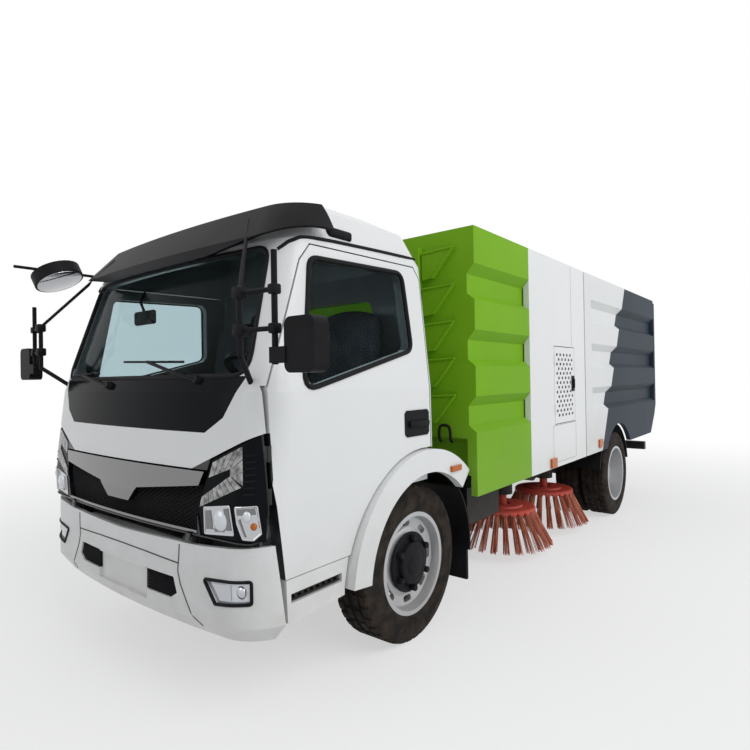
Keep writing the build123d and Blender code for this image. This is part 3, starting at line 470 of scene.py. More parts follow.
glass = base_finish("tinted_cab_glass", (0.62, 0.72, 0.74), 0.02)
shader_of(glass).inputs["Transmission Weight"].default_value = 1.0
shader_of(glass).inputs["IOR"].default_value = 1.06
vary_roughness(glass, 3.0, 0.0, 0.03)
print("finishes:", len(bpy.data.materials))

# %% [markdown]
# ## Paint the solids
# A node whose shape is right stays as it is and only gets its finish. A table from finish to nodes keeps this short,
# and anything that is left without a line in it would be printed.

# %% Finishes on the nodes
HANDS = ("left", "right")
FINISHES = [
    (cab_paint, ["cab_shell", "door_left", "door_right"]),
    (white_paint, ["bumper", "flares", "house_walls", "house_plates", "hatch_left", "hatch_right"]),
    (green_paint, ["tank_body"]),
    (bin_paint, ["bin_body"]),
    (slate_paint, ["tailgate"]),
    (black_plastic, ["sun_visor", "mirrors", "grille_mesh", "bumper_mesh", "mudguards", "dashboard"]),
    (gloss_black, ["cowl_panel", "headlamps"]),
    (dull_chrome, ["grille_bar"]),
    (frame_black, ["frame_rails", "crossmembers", "subframe", "rear_bar", "leaf_springs", "suction_nozzle",
                   "front_axle", "rear_axle", "knuckle_left", "knuckle_right", "side_tanks"]
     + ["arm_" + row + "_" + hand for row in ("front", "rear") for hand in HANDS]),
    (iron, ["engine", "sweeper_engine"]),
    (rim_silver, ["front_rim_" + hand for hand in HANDS] + ["rear_rims_" + hand for hand in HANDS]),
    (tyre_rubber, ["front_tyre_" + hand for hand in HANDS] + ["rear_tyres_" + hand for hand in HANDS]),
    (glass, ["cab_glass", "door_glass_left", "door_glass_right"]),
    (lamp_clear, ["fog_lamps"]),
    (lamp_amber, ["side_lamps", "bin_lamps", "turn_lamps"]),
    (lamp_red, ["rear_lamps"]),
    (brush_red, ["brush_" + row + "_" + hand for row in ("front", "rear") for hand in HANDS]),
    (seal_rubber, ["seats"]),
]
painted = set()
for finish, names in FINISHES:
    for name in names:
        node = nodes[name]
        if not node.material_slots:
            node.data.materials.append(finish)
        for slot in node.material_slots:
            slot.material = finish
        painted.add(name)
print("painted:", len(painted), "left:", sorted(set(nodes) - painted))

# %% [markdown]
# ## Helpers for modelling by hand
# Most small pieces start in one of four ways. A block is a cube that is sized and then bevelled. A traced outline is a
# single vertex that is extruded along a list of points, as one would click it in edit mode. A turned piece is such an
# outline spun about an axle, and a tube is a smooth curve with a round section. Each finished piece has its place
# applied to its mesh, gets its finish, and rides on a body.

# %% Modelling helpers
# Front axle, rear axle and hub height
AX, REAR_AX, HUB_Z = 1.7875, -1.5205, 0.4
SIDES = (("left", 1), ("right", -1))


def deselect():
    if bpy.context.mode != "OBJECT":
        bpy.ops.object.mode_set(mode="OBJECT")
    bpy.ops.object.select_all(action="DESELECT")


def activate(piece):
    deselect()
    piece.select_set(True)
    bpy.context.view_layer.objects.active = piece


def apply_place(piece):
    activate(piece)
    bpy.ops.object.transform_apply(location=True, rotation=True, scale=True)


def edit(mode="VERT"):
    """Open the active piece in edit mode with all of it selected."""
    bpy.ops.object.mode_set(mode="EDIT")
    bpy.ops.mesh.select_mode(type=mode)
    bpy.ops.mesh.select_all(action="SELECT")


def leave_edit():
    bpy.ops.object.mode_set(mode="OBJECT")


def modify(piece, kind, **values):
    """Add a modifier, set it and apply it."""
    activate(piece)
    bpy.ops.object.modifier_add(type=kind)
    modifier = piece.modifiers[-1]
    for key, value in values.items():
        setattr(modifier, key, value)
    bpy.ops.object.modifier_apply(modifier=modifier.name)


def primitive(add, aim=None, bevel=0.0, bevel_steps=1, **values):
    """One basic shape by its operator, with its Z along aim, its place applied and its edges bevelled."""
    deselect()
    add(**values)
    piece = bpy.context.object
    if aim:
        piece.rotation_mode = "QUATERNION"
        piece.rotation_quaternion = aim.to_track_quat("Z", "Y")
    apply_place(piece)
    if bevel:
        edit("EDGE")
        bpy.ops.mesh.bevel(offset=bevel, segments=bevel_steps, affect="EDGES")
        leave_edit()
    return piece


def block(x, y, z, bevel=0.0, bevel_steps=2):
    """A bevelled box between its bounds along each axis."""
    middle = [(a + b) / 2 for a, b in (x, y, z)]
    size = [abs(b - a) for a, b in (x, y, z)]
    return primitive(bpy.ops.mesh.primitive_cube_add, None, bevel, bevel_steps, size=1, location=middle, scale=size)


def trace(points, fill=False):
    """Edges drawn point by point, closed by a face where fill is set."""
    deselect()
    bpy.ops.mesh.primitive_plane_add(size=0.002, location=points[0])
    piece = bpy.context.object
    edit()
    bpy.ops.mesh.merge(type="CENTER")
    for start, end in zip(points, points[1:]):
        bpy.ops.mesh.extrude_region_move(TRANSFORM_OT_translate={"value": Vector(end) - Vector(start)})
    if fill:
        bpy.ops.mesh.select_all(action="SELECT")
        bpy.ops.mesh.edge_face_add()
    leave_edit()
    apply_place(piece)
    return piece


def spin_round(steps, centre, axis, merge):
    """Spin the active outline into a closed skin."""
    edit()
    bpy.ops.mesh.spin(steps=steps, angle=2 * math.pi, center=centre, axis=axis)
    bpy.ops.mesh.select_all(action="SELECT")
    bpy.ops.mesh.remove_doubles(threshold=merge)
    bpy.ops.mesh.normals_make_consistent(inside=False)
    leave_edit()


def turned(points, centre, steps):
    """A ring or disc about an axle across the truck: points are (axial, radial)."""
    cx, cy, cz = centre
    piece = trace([(cx, cy + axial, cz + radial) for axial, radial in points])
    spin_round(steps, centre, (0, 1, 0), 0.00002)
    return piece


def tube(points, radius, corners=6, closed=False):
    """A round bar along a smooth path, or a closed loop of it."""
    points = [Vector(p) for p in points]
    while len(points) < 5:
        runs = [(b - a).length for a, b in zip(points, points[1:])]
        longest = runs.index(max(runs))
        points.insert(longest + 1, points[longest].lerp(points[longest + 1], 0.5))
    deselect()
    bpy.ops.curve.primitive_nurbs_path_add()
    piece = bpy.context.object
    spline = piece.data.splines[0]
    spline.points.add(len(points) - len(spline.points))
    for point, place in zip(spline.points, points):
        point.co = (*place, 1)
    spline.order_u = 3
    spline.use_endpoint_u = not closed
    spline.use_cyclic_u = closed
    spline.resolution_u = 5
    piece.data.bevel_depth = radius
    piece.data.bevel_resolution = max(1, corners // 4)
    piece.data.use_fill_caps = True
    activate(piece)
    bpy.ops.object.convert(target="MESH")
    return bpy.context.object


def join(pieces):
    deselect()
    for piece in pieces:
        piece.select_set(True)
    bpy.context.view_layer.objects.active = pieces[0]
    bpy.ops.object.join()
    return bpy.context.object


def mirrored(piece):
    """The same piece on the other side of the truck."""
    activate(piece)
    bpy.ops.object.duplicate()
    copy = bpy.context.object
    bpy.ops.transform.resize(value=(1, -1, 1), center_override=(0, 0, 0))
    apply_place(copy)
    edit()
    bpy.ops.mesh.flip_normals()
    leave_edit()
    return copy


def divide(cuts):
    """Split the active face into triangles and those into smaller ones."""
    edit()
    bpy.ops.mesh.quads_convert_to_tris()
    bpy.ops.mesh.subdivide(number_cuts=cuts)
    leave_edit()


def settle(piece, name, finish, body, smooth=0):
    apply_place(piece)
    if smooth:
        bpy.ops.object.shade_smooth_by_angle(angle=math.radians(smooth))
    piece.name = name
    piece.data.name = name
    piece.data.materials.clear()
    piece.data.materials.append(finish)
    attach(piece, body)
    print(name, "on", body, "faces", len(piece.data.polygons))


# %% [markdown]
# ## Tyres
# The tyre has the same section all round, so half of it is written down, mirrored, traced and spun. Three grooves run
# round the tread, and its bands have short cross grooves. Those are single faces, picked by their place, inset and
# pushed in. The outline follows the solid that it stands for.

# %% Tyres
TYRE_STEPS, GROOVE_RIM, GROOVE_DEPTH = 120, 0.0025, 0.007
# columns: axial, radial
TYRE_SIDE = [(0.095, 0.251), (0.103, 0.262), (0.106, 0.280), (0.110, 0.283), (0.111, 0.290), (0.113, 0.318),
             (0.113, 0.332), (0.110, 0.352), (0.104, 0.374), (0.098, 0.390), (0.092, 0.3985)]
TYRE_TREAD = [(0.085, 0.400), (0.058, 0.400), (0.055, 0.389), (0.047, 0.389), (0.044, 0.400), (0.014, 0.400),
              (0.011, 0.389), (0.003, 0.389)]
# columns of the cross grooves: axial from and to, least radius, every how many steps, first step
GROOVED_BANDS = ((0.058, 0.100, 0.380, 3, 0), (0.014, 0.044, 0.395, 4, 1))


def tyre(x, y):
    half = TYRE_SIDE + TYRE_TREAD
    points = half + [(-axial, radial) for axial, radial in reversed(half)] + [half[0]]
    piece = turned(points, (x, y, HUB_Z), TYRE_STEPS)
    activate(piece)
    edit("FACE")
    bpy.ops.mesh.select_all(action="DESELECT")
    leave_edit()
    for face in piece.data.polygons:
        axial = abs(face.center.y - y)
        turn = math.atan2(face.center.z - HUB_Z, face.center.x - x) % (2 * math.pi)
        step = int(turn / (2 * math.pi) * TYRE_STEPS)
        radial = math.hypot(face.center.z - HUB_Z, face.center.x - x)
        face.select = any(low < axial < high and radial > least and step % pitch == first
                          for low, high, least, pitch, first in GROOVED_BANDS)
    bpy.ops.object.mode_set(mode="EDIT")
    bpy.ops.mesh.inset(thickness=GROOVE_RIM, use_even_offset=True)
    bpy.ops.transform.shrink_fatten(value=-GROOVE_DEPTH)
    leave_edit()
    return piece


FRONT_WHEEL_Y, REAR_WHEEL_Y, DUAL_PITCH = 0.752, 0.854, 0.250
for hand, side in SIDES:
    front = tyre(AX, side * FRONT_WHEEL_Y)
    settle(front, "treaded_front_tyre_" + hand, tyre_rubber, "front_wheel_" + hand, 40)
    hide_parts("front_tyre_" + hand)
    rear = join([tyre(REAR_AX, side * REAR_WHEEL_Y), tyre(REAR_AX, side * (REAR_WHEEL_Y - DUAL_PITCH))])
    settle(rear, "treaded_rear_tyres_" + hand, tyre_rubber, "rear_wheels_" + hand, 40)
    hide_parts("rear_tyres_" + hand)

# %% [markdown]
# ## Hubs
# The front hub wears a black cover with a stepped cap and six nuts round it, and the rear hub has a ring of silver nuts
# deep in the dish. A nut is a six-sided cylinder with bevelled edges.

# %% Hubs
def nut_ring(x, y, side, radius, count, size, depth):
    nuts = []
    for turn in range(count):
        angle = 2 * math.pi * (turn + 0.5) / count
        place = (x + radius * math.cos(angle), y + side * depth / 2, HUB_Z + radius * math.sin(angle))
        nuts.append(primitive(bpy.ops.mesh.primitive_cylinder_add, bevel=size * 0.18, vertices=6, radius=size,
                              depth=depth, location=place, rotation=(math.radians(90), 0, 0)))
    return join(nuts)


# columns: axial from the disc, radial
COVER = [(0.0, 0.155), (0.008, 0.155), (0.014, 0.148), (0.014, 0.112), (0.036, 0.108), (0.041, 0.100), (0.041, 0.070),
         (0.048, 0.060), (0.052, 0.050), (0.052, 0.0005)]
COVER_Y, REAR_DISC_Y, NUTS = FRONT_WHEEL_Y + 0.068, 0.785, 6
for hand, side in SIDES:
    hub_y = side * COVER_Y
    cover = turned([(side * axial, radial) for axial, radial in COVER], (AX, hub_y, HUB_Z), 48)
    nuts = nut_ring(AX, hub_y + side * 0.012, side, 0.130, NUTS, 0.018, 0.034)
    hub = join([cover, nuts])
    settle(hub, "front_hub_cover_" + hand, black_plastic, "front_wheel_" + hand, 35)
    ring = nut_ring(REAR_AX, side * REAR_DISC_Y, side, 0.190, NUTS, 0.017, 0.034)
    settle(ring, "rear_hub_nuts_" + hand, rim_silver, "rear_wheels_" + hand, 35)

# %% [markdown]
# ## Brushes
# Each disc brush is a red plate with a ring of tufts that splay outwards. A tuft is a flat bundle of bristles, and a
# bristle is a thin tapered bar from the plate's rim towards the ground. One tuft is modelled with a seeded spread,
# then turned and copied round the plate.

# %% Brushes
BRUSH_Y, BRUSH_FRONT_X, BRUSH_PITCH = 0.560, AX - 1.640, 0.835
PLATE_Z, TIP_Z = 0.335, 0.068
TUFTS, BRISTLES, BRISTLE_RADIUS = 24, 22, 0.0032
# columns: radius, half depth of the bundle, half width of the bundle
TUFT_ROOT, TUFT_TIP = (0.222, 0.014, 0.013), (0.358, 0.026, 0.021)
# How far a tip strays along the radius, across it and upwards
STRAY_OUT, STRAY_ACROSS, STRAY_UP = 0.012, 0.006, 0.014
spread = random.Random(7)


def bristle_bar(root, tip):
    run = tip - root
    return primitive(bpy.ops.mesh.primitive_cone_add, run, vertices=4, radius1=BRISTLE_RADIUS,
                     radius2=BRISTLE_RADIUS * 0.7, depth=run.length, location=root + run / 2)


def one_tuft():
    bars = []
    for number in range(BRISTLES):
        across = (number / (BRISTLES - 1) - 0.5) * 2
        row = spread.uniform(-1, 1)
        root = Vector((TUFT_ROOT[0] + TUFT_ROOT[1] * row, across * TUFT_ROOT[2], PLATE_Z + 0.004))
        tip = Vector((TUFT_TIP[0] + TUFT_TIP[1] * row + spread.uniform(-STRAY_OUT, STRAY_OUT),
                      across * TUFT_TIP[2] + spread.uniform(-STRAY_ACROSS, STRAY_ACROSS),
                      TIP_Z + spread.uniform(0.0, STRAY_UP)))
        bars.append(bristle_bar(root, tip))
    return join(bars)


def turn_copy(piece, angle):
    activate(piece)
    bpy.ops.object.duplicate()
    copy = bpy.context.object
    copy.rotation_mode = "XYZ"
    copy.rotation_euler = (0, 0, angle)
    apply_place(copy)
    return copy


def ring_of(piece):
    """A piece and its copies, turned round the brush's axis."""
    return join([piece] + [turn_copy(piece, 2 * math.pi * k / TUFTS) for k in range(1, TUFTS)])


# columns: radial, height from PLATE_Z
PLATE = [(0.0005, 0.020), (0.060, 0.020), (0.066, 0.032), (0.150, 0.032), (0.158, 0.020), (0.240, 0.020),
         (0.250, 0.012), (0.250, 0.0), (0.236, -0.006), (0.0005, -0.006)]
ring_of_tufts = ring_of(one_tuft())
clamp = block((0.196, 0.250), (-0.024, 0.024), (PLATE_Z - 0.016, PLATE_Z + 0.010), 0.004)
ring_of_clamps = ring_of(clamp)
disc = trace([(radial, 0, PLATE_Z + height) for radial, height in PLATE])
spin_round(48, (0, 0, 0), (0, 0, 1), 0.0008)
spindle = primitive(bpy.ops.mesh.primitive_cylinder_add, bevel=0.002, vertices=24, radius=0.034, depth=0.100,
                    location=(0, 0, PLATE_Z + 0.060))
disc = join([disc, ring_of_clamps, spindle])
for row, x in (("front", BRUSH_FRONT_X), ("rear", BRUSH_FRONT_X - BRUSH_PITCH)):
    for hand, side in SIDES:
        for source, label, finish in ((disc, "brush_plate_", brush_red), (ring_of_tufts, "brush_tufts_", bristle)):
            activate(source)
            bpy.ops.object.duplicate()
            copy = bpy.context.object
            copy.location = (x, side * BRUSH_Y, 0)
            settle(copy, label + row + "_" + hand, finish, "brush_" + row + "_" + hand, 35)
            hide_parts("brush_" + row + "_" + hand)
for source in (disc, ring_of_tufts):
    bpy.data.objects.remove(source)

# %% [markdown]
# ## Pieces that lie on a panel
# Lamps, seams and trim follow the curved skin of the cab. There are two ways to get them there. A flat outline can be
# drawn in front of the panel, divided, and projected onto it by a Shrinkwrap modifier, or a line can be drawn point by
# point where a straight ray meets the panel. The first gives patches and the second gives seals and joints.

# %% Panel helpers
# Where outlines are drawn before they are laid on a panel, in millimetres from the axle and from the middle
FAR = 1600


def at(a, y, z):
    """A place in millimetres: ahead of the front axle, left of the middle, above the ground."""
    return Vector((AX + a / 1000, y / 1000, z / 1000))


def cast(name, start, way):
    """Where a straight line first meets a solid."""
    node = nodes[name]
    back = node.matrix_world.inverted()
    found, place, *_ = node.ray_cast(back @ Vector(start), back.to_3x3() @ Vector(way))
    if not found:
        print("no panel", name, "at", [round(v, 3) for v in start])
    return node.matrix_world @ place if found else Vector(start)


def on_front(name, y, z, lift=0.0):
    return cast(name, at(FAR, y, z), (-1, 0, 0)) + Vector((lift, 0, 0))


def on_side(name, a, z, lift=0.0):
    return cast(name, at(a, FAR, z), (0, -1, 0)) + Vector((0, lift, 0))


def patch(outline, name, front, lift, thickness, cuts=2):
    """A thin plate of a given outline in millimetres, laid on a panel seen from the front or the left."""
    piece = trace([at(FAR, *p) if front else at(p[0], FAR, p[1]) for p in outline], fill=True)
    divide(cuts)
    if piece.data.polygons[0].normal.dot(Vector((1, 0, 0) if front else (0, 1, 0))) < 0:
        edit()
        bpy.ops.mesh.flip_normals()
        leave_edit()
    modify(piece, "SHRINKWRAP", target=nodes[name], wrap_method="PROJECT", use_project_x=front, use_project_y=not front,
           use_positive_direction=False, use_negative_direction=True, offset=lift)
    far = at(FAR, FAR, 0) - Vector((0.001, 0.001, 0))
    missed = sum(point.co.x > far.x if front else point.co.y > far.y for point in piece.data.vertices)
    if missed:
        print("missed the panel", name, missed)
    modify(piece, "SOLIDIFY", thickness=thickness, offset=1.0)
    return piece


def cells_of(quad, count, gap):
    """A four-cornered outline divided along its length into cells."""
    a, b, c, d = (Vector(p) for p in quad)
    cells = []
    for k in range(count):
        low, high = (k + gap) / count, (k + 1 - gap) / count
        cells.append([a.lerp(d, low), a.lerp(d, high), b.lerp(c, high), b.lerp(c, low)])
    return cells


def grown(outline, amount):
    middle = sum((Vector(p) for p in outline), Vector((0, 0))) / len(outline)
    return [Vector(p) + (Vector(p) - middle).normalized() * amount for p in outline]


def rounded(outline, radius, between=5):
    """Control points of a closed line with corners of a given radius and more points along its sides."""
    outline = [Vector(p) for p in outline]
    reach = []
    for before, here, after in zip(outline[-1:] + outline[:-1], outline, outline[1:] + outline[:1]):
        reach.append(2 * radius / math.tan((before - here).angle(after - here) / 2))
    points = []
    for k, here in enumerate(outline):
        back, on = outline[k - 1] - here, outline[(k + 1) % len(outline)] - here
        points += [here + back.normalized() * reach[k], here, here + on.normalized() * reach[k]]
        start, end = reach[k] / on.length, 1 - reach[(k + 1) % len(outline)] / on.length
        points += [here + on * (start + (end - start) * step / between) for step in range(1, between)]
    return points


def along(points, between=4):
    """An open line with more points on each of its runs."""
    points = [Vector(p) for p in points]
    more = [a.lerp(b, k / between) for a, b in zip(points, points[1:]) for k in range(between)]
    return more + points[-1:]


def line_on(points, name, front, lift, radius, closed=False):
    """A round bead or joint that follows a panel."""
    find = on_front if front else on_side
    return tube([find(name, *p, lift) for p in points], radius, 8, closed)


def both_hands(piece, name, finish, body, smooth=0):
    """Settle a left piece and its mirror image; a body that ends in an underscore is one for each hand."""
    other = mirrored(piece)
    for hand, item in (("left", piece), ("right", other)):
        settle(item, name + "_" + hand, finish, body + hand if body.endswith("_") else body, smooth)


# %% [markdown]
# ## Grille and bumper nets
# Behind the grille's bar and in the bumper are moulded nets of small diamonds. They could be cut from a plate hole by
# hole, but a net is quicker from a grid: every square is poked to its middle, bisects trim it to its opening, the
# triangles are merged again across the old edges, which leaves diamonds, and a Wireframe modifier turns the edges into
# strands. The net is bowed like the skin around it, and a plain black plate closes it behind, as painted shade for the
# dark inside. A white cheek covers the outer end of the bumper's opening, and a strip of smoked chrome runs along the
# grille's foot.

# %% Nets
# columns: height, nose ahead of the axle, bow at the half width, half width
CAB_FACE = ((470, 1112, 60, 915), (890, 1135, 60, 930), (1320, 1082, 60, 925))
BUMPER_FACE = ((355, 1085, 60, 868), (432, 1130, 60, 925), (745, 1124, 60, 930))
GRILLE_HOLE = [(-585, 759), (585, 759), (592, 860), (639, 1015), (-639, 1015), (-592, 860)]
BUMPER_HOLE = [(216, 471), (400, 471), (446, 498), (422, 559), (216, 559)]
BUMPER_CHEEK = [(400, 469), (432, 469), (612, 523), (612, 562), (421, 562), (446, 498)]


def face_x(rows, y, z):
    """How far ahead the skin is, from a table of its rows."""
    low, high = (rows[0], rows[1]) if z < rows[1][0] else (rows[1], rows[2])
    share = (z - low[0]) / (high[0] - low[0])
    nose, bow, half = (a + (b - a) * share for a, b in zip(low[1:], high[1:]))
    return AX + (nose - bow * (y / half) ** 2) / 1000


def skin_line(rows, points, inset, radius, corners=6):
    """A round bar along places (y, z) a little behind the skin."""
    return tube([(face_x(rows, y, z) - inset, y / 1000, z / 1000) for y, z in points], radius, corners)


def bow_to(piece, rows, inset):
    for point in piece.data.vertices:
        point.co.x = face_x(rows, point.co.y * 1000, point.co.z * 1000) - inset


def diamond_net(outline, cell, rows, inset, strand):
    """A net of diamonds trimmed to a convex outline in front view."""
    low = [min(p[i] for p in outline) for i in (0, 1)]
    high = [max(p[i] for p in outline) for i in (0, 1)]
    wide, tall = (h - b for b, h in zip(low, high))
    deselect()
    bpy.ops.mesh.primitive_grid_add(x_subdivisions=round(wide / cell), y_subdivisions=round(2 * tall / cell), size=1)
    net = bpy.context.object
    net.rotation_euler = (math.radians(90), 0, math.radians(90))
    net.scale = (wide / 1000, tall / 1000, 1)
    net.location = at(0, (low[0] + high[0]) / 2, (low[1] + high[1]) / 2)
    apply_place(net)
    edit("FACE")
    bpy.ops.mesh.poke()
    bpy.ops.mesh.select_mode(type="VERT")
    middle = Vector([(a + b) / 2 for a, b in zip(low, high)])
    for start, end in zip(outline, outline[1:] + outline[:1]):
        run = Vector(end) - Vector(start)
        away = Vector((run.y, -run.x)).normalized()
        if away.dot(Vector(start) - middle) < 0:
            away = -away
        bpy.ops.mesh.select_all(action="SELECT")
        bpy.ops.mesh.bisect(plane_co=at(0, *start), plane_no=(0, away.x, away.y), clear_outer=True)
    bpy.ops.mesh.select_all(action="SELECT")
    bpy.ops.mesh.tris_convert_to_quads(face_threshold=math.radians(40), shape_threshold=math.radians(100))
    leave_edit()
    bow_to(net, rows, inset)
    modify(net, "WIREFRAME", thickness=strand)
    return net


# A plain plate behind the net; its black is painted shade for the dark inside of the opening
def shade_plate_behind_net(outline, rows, inset):
    back = trace([at(0, *p) for p in outline], fill=True)
    bow_to(back, rows, inset)
    modify(back, "SOLIDIFY", thickness=0.004, offset=0.0)
    return back


net = join([diamond_net(GRILLE_HOLE, 34, CAB_FACE, 0.024, 0.006), shade_plate_behind_net(GRILLE_HOLE, CAB_FACE, 0.040)])
settle(net, "grille_net_and_shade_plate", black_plastic, "cab")
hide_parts("grille_mesh")
for hand, side in SIDES:
    hole = [(side * y, z) for y, z in BUMPER_HOLE]
    net = join([diamond_net(hole, 24, BUMPER_FACE, 0.010, 0.005), shade_plate_behind_net(hole, BUMPER_FACE, 0.018)])
    settle(net, "bumper_net_" + hand, black_plastic, "chassis")
    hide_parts("bumper_mesh")
    cheek = trace([at(0, side * y, z) for y, z in BUMPER_CHEEK], fill=True)
    divide(2)
    bow_to(cheek, BUMPER_FACE, 0.004)
    modify(cheek, "SOLIDIFY", thickness=0.008, offset=0.0)
    settle(cheek, "bumper_cheek_" + hand, white_paint, "chassis", 30)
strip = skin_line(CAB_FACE, [(y, 768) for y in range(-580, 581, 116)], 0.006, 0.008, 8)
settle(strip, "grille_foot_strip", dull_chrome, "cab", 40)

# %% [markdown]
# ## Headlamps
# Each lamp unit is a black housing with three lit parts: a hooked band of small clear cells, a reflector bowl with its
# lens, and a turn lamp with an amber bulb. Fine ribs run round the outer corner. The parts are thin patches laid on the
# housing, one cell after another, and the left unit is mirrored for the right one.

# %% Headlamps
BAND_UPPER = [(662, 1046), (648, 988), (764, 1030), (815, 1116)]
BAND_CORNER = [(815, 1116), (764, 1030), (768, 1004), (832, 972)]
BAND_LOWER = [(618, 911), (607, 871), (828, 966), (768, 1004)]
BOWL = [(632, 872), (776, 893), (790, 785), (628, 770)]
TURN = [(806, 892), (884, 898), (889, 795), (868, 772), (832, 774), (812, 830)]
SHADES = ([(640, 862), (672, 866), (676, 792), (636, 788)], [(744, 880), (768, 884), (780, 800), (752, 797)],
          [(680, 796), (748, 803), (740, 790), (690, 784)], [(814, 886), (878, 891), (880, 868), (813, 862)],
          [(818, 846), (826, 850), (846, 782), (838, 784)])
# Layers of the lamp: lift off the housing, thickness
BACK_LAYER, BOWL_LAYER, CELL_LAYER = (0.0002, 0.0015), (0.0004, 0.002), (0.0005, 0.004)
SHADE_LAYER, RIB_LAYER = (0.0026, 0.0015), (0.0, 0.004)
CELL_GAP = 0.07


def bulb(name, place, sunk, radius, flat):
    """A flattened ball, sunk a little into a lamp at a place (y, z)."""
    return primitive(bpy.ops.mesh.primitive_uv_sphere_add, segments=20, ring_count=12, radius=radius,
                     location=on_front(name, *place, -sunk), scale=(flat, 1, 1))


def lamp_patch(outline, layer, cuts=2):
    """A thin plate laid on the lamp's housing."""
    return patch(outline, "headlamps", True, *layer, cuts)


cells = []
for quad, count in ((BAND_UPPER, 4), (BAND_CORNER, 3), (BAND_LOWER, 8)):
    for cell in cells_of(quad, count, CELL_GAP):
        cells.append(lamp_patch(cell, CELL_LAYER, 1))
both_hands(join(cells), "lamp_band", band_clear, "cab", 30)
back = join([lamp_patch(quad, BACK_LAYER) for quad in (BAND_UPPER, BAND_CORNER, BAND_LOWER)])
both_hands(back, "lamp_band_back", dull_chrome, "cab", 30)
bowls = []
for outline in (BOWL, TURN):
    bowls.append(lamp_patch(outline, BOWL_LAYER))
    rim = [on_front("headlamps", *p, 0.002) for p in rounded(outline, 5, 3)]
    bowls.append(tube(rim, 0.004, 6, True))
both_hands(join(bowls), "lamp_bowls", chrome, "cab", 30)
shades = join([lamp_patch(outline, SHADE_LAYER) for outline in SHADES])
both_hands(shades, "lamp_shades", dull_chrome, "cab", 30)
lens = join([bulb("headlamps", (716, 832), 0.004, 0.044, 0.45), bulb("headlamps", (845, 860), 0.004, 0.024, 0.5)])
both_hands(lens, "lamp_lenses", lamp_clear, "cab", 60)
both_hands(bulb("headlamps", (868, 822), 0.002, 0.015, 0.8), "turn_bulb", lamp_amber, "cab", 60)
ribs = [lamp_patch([(836, z), (872, z + 4), (872, z + 11), (836, z + 7)], RIB_LAYER) for z in range(935, 1080, 24)]
both_hands(join(ribs), "lamp_ribs", black_plastic, "cab", 30)

# %% [markdown]
# ## Bumper joints and fog lamps
# The bumper is moulded in three parts, so two upright joints show beside the middle, and a soft crease runs along it.
# A joint is only a dark bead sunk into the skin, and the crease is the same dark bead, as painted shade under its
# ledge.
# The fog lamp, whose solid is a clear lens, gets a black frame, a bright plate and a bulb.

# %% Bumper
FOG = [(688, 508), (840, 527), (840, 607), (622, 588)]
# The crease's dark bead is painted shade under the bumper's ledge; the upright joints are dark joints
CREASE = [(-452, 622), (-220, 631), (0, 634), (220, 631), (452, 622)]
JOINT = [(462, 700), (458, 640), (452, 591), (470, 540), (507, 483), (548, 425), (575, 385)]
lines = [along(CREASE)] + [[(side * y, z) for y, z in along(JOINT)] for side in (1, -1)]
seams = [skin_line(BUMPER_FACE, line, 0.001, 0.0035) for line in lines]
settle(join(seams), "bumper_joints_and_crease_shade", joint_and_crease_shade_grey, "chassis", 40)
frame_line = line_on(rounded(grown(FOG, 5), 9, 4), "bumper", True, 0.0, 0.007, True)
both_hands(frame_line, "fog_lamp_frame", black_plastic, "chassis", 40)
parts = [patch([(702, 522), (764, 530), (760, 588), (664, 578)], "fog_lamps", True, 0.0004, 0.003)]
parts.append(bulb("fog_lamps", (800, 565), 0.004, 0.026, 0.5))
both_hands(join(parts), "fog_lamp_inside", chrome, "chassis", 40)

# %% [markdown]
# ## Windscreen
# A black seal runs round the glass, and two wipers are parked along its foot. The seal is a round bead along the edge
# of the opening. A wiper is a blade along the glass, a thinner spine above it held by short links, and an arm from
# its pivot.

# %% Windscreen seal and wipers
COWL_TOP, COWL_HALF = 1383.5, 795
BLADE_LIFT, SPINE_LIFT, ARM_LIFT = 0.012, 0.026, 0.030
BLADE_RADIUS, SPINE_RADIUS, ARM_RADIUS = 0.006, 0.005, 0.008
SCREEN = [(-795, 1388), (795, 1388), (735, 1922), (-735, 1922)]


def front_skin(y, z, lift):
    """The skin of the shell, or of the dark panel where that covers it."""
    return on_front("cowl_panel" if z < COWL_TOP and abs(y) < COWL_HALF else "cab_shell", y, z, lift)


seal = tube([front_skin(p[0], p[1], -0.002) for p in rounded(grown(SCREEN, 8), 80, 7)], 0.011, 8, True)
settle(seal, "windscreen_seal", seal_rubber, "cab", 40)


def wiper(start, end, pivot):
    """A wiper from blade start to blade end, as (y, z) places on the glass, with its pivot on the dark panel."""
    run = [Vector(start).lerp(Vector(end), k / 6) for k in range(7)]
    glass_at = functools.partial(on_front, "cab_glass")
    blade = tube([glass_at(*p, BLADE_LIFT) for p in run], BLADE_RADIUS)
    spine = tube([glass_at(*p, SPINE_LIFT) for p in run[1:6]], SPINE_RADIUS)
    links = [tube([glass_at(*run[k], lift) for lift in (BLADE_LIFT, SPINE_LIFT)], BLADE_RADIUS) for k in (1, 3, 5)]
    foot, middle = at(*pivot), glass_at(*run[3], ARM_LIFT)
    bend = foot.lerp(middle, 0.3) + Vector((0.022, 0, 0))
    arm = tube([foot + Vector((0.012, 0, 0)), bend, middle], ARM_RADIUS)
    cap = primitive(bpy.ops.mesh.primitive_cone_add, vertices=20, radius1=0.024, radius2=0.016, depth=0.036,
                    location=foot, rotation=(0, math.radians(75), 0))
    return join([blade, spine, arm, cap] + links)


settle(wiper((-133, 1466), (376, 1451), (1047, 515, 1372)), "wiper_left", black_plastic, "cab", 40)
settle(wiper((-740, 1408), (-386, 1412), (1074, -204, 1352)), "wiper_right", black_plastic, "cab", 40)

# %% [markdown]
# ## Doors and roof edge
# Each door window sits in a thick rubber seal, and the handle is a black plate with a lever on it. A gutter runs above
# the door, and a small black lamp sits on the roof's side. In the step there is a slotted tread. The seal and the
# handle ride on their door, and the rest stays on the cab.

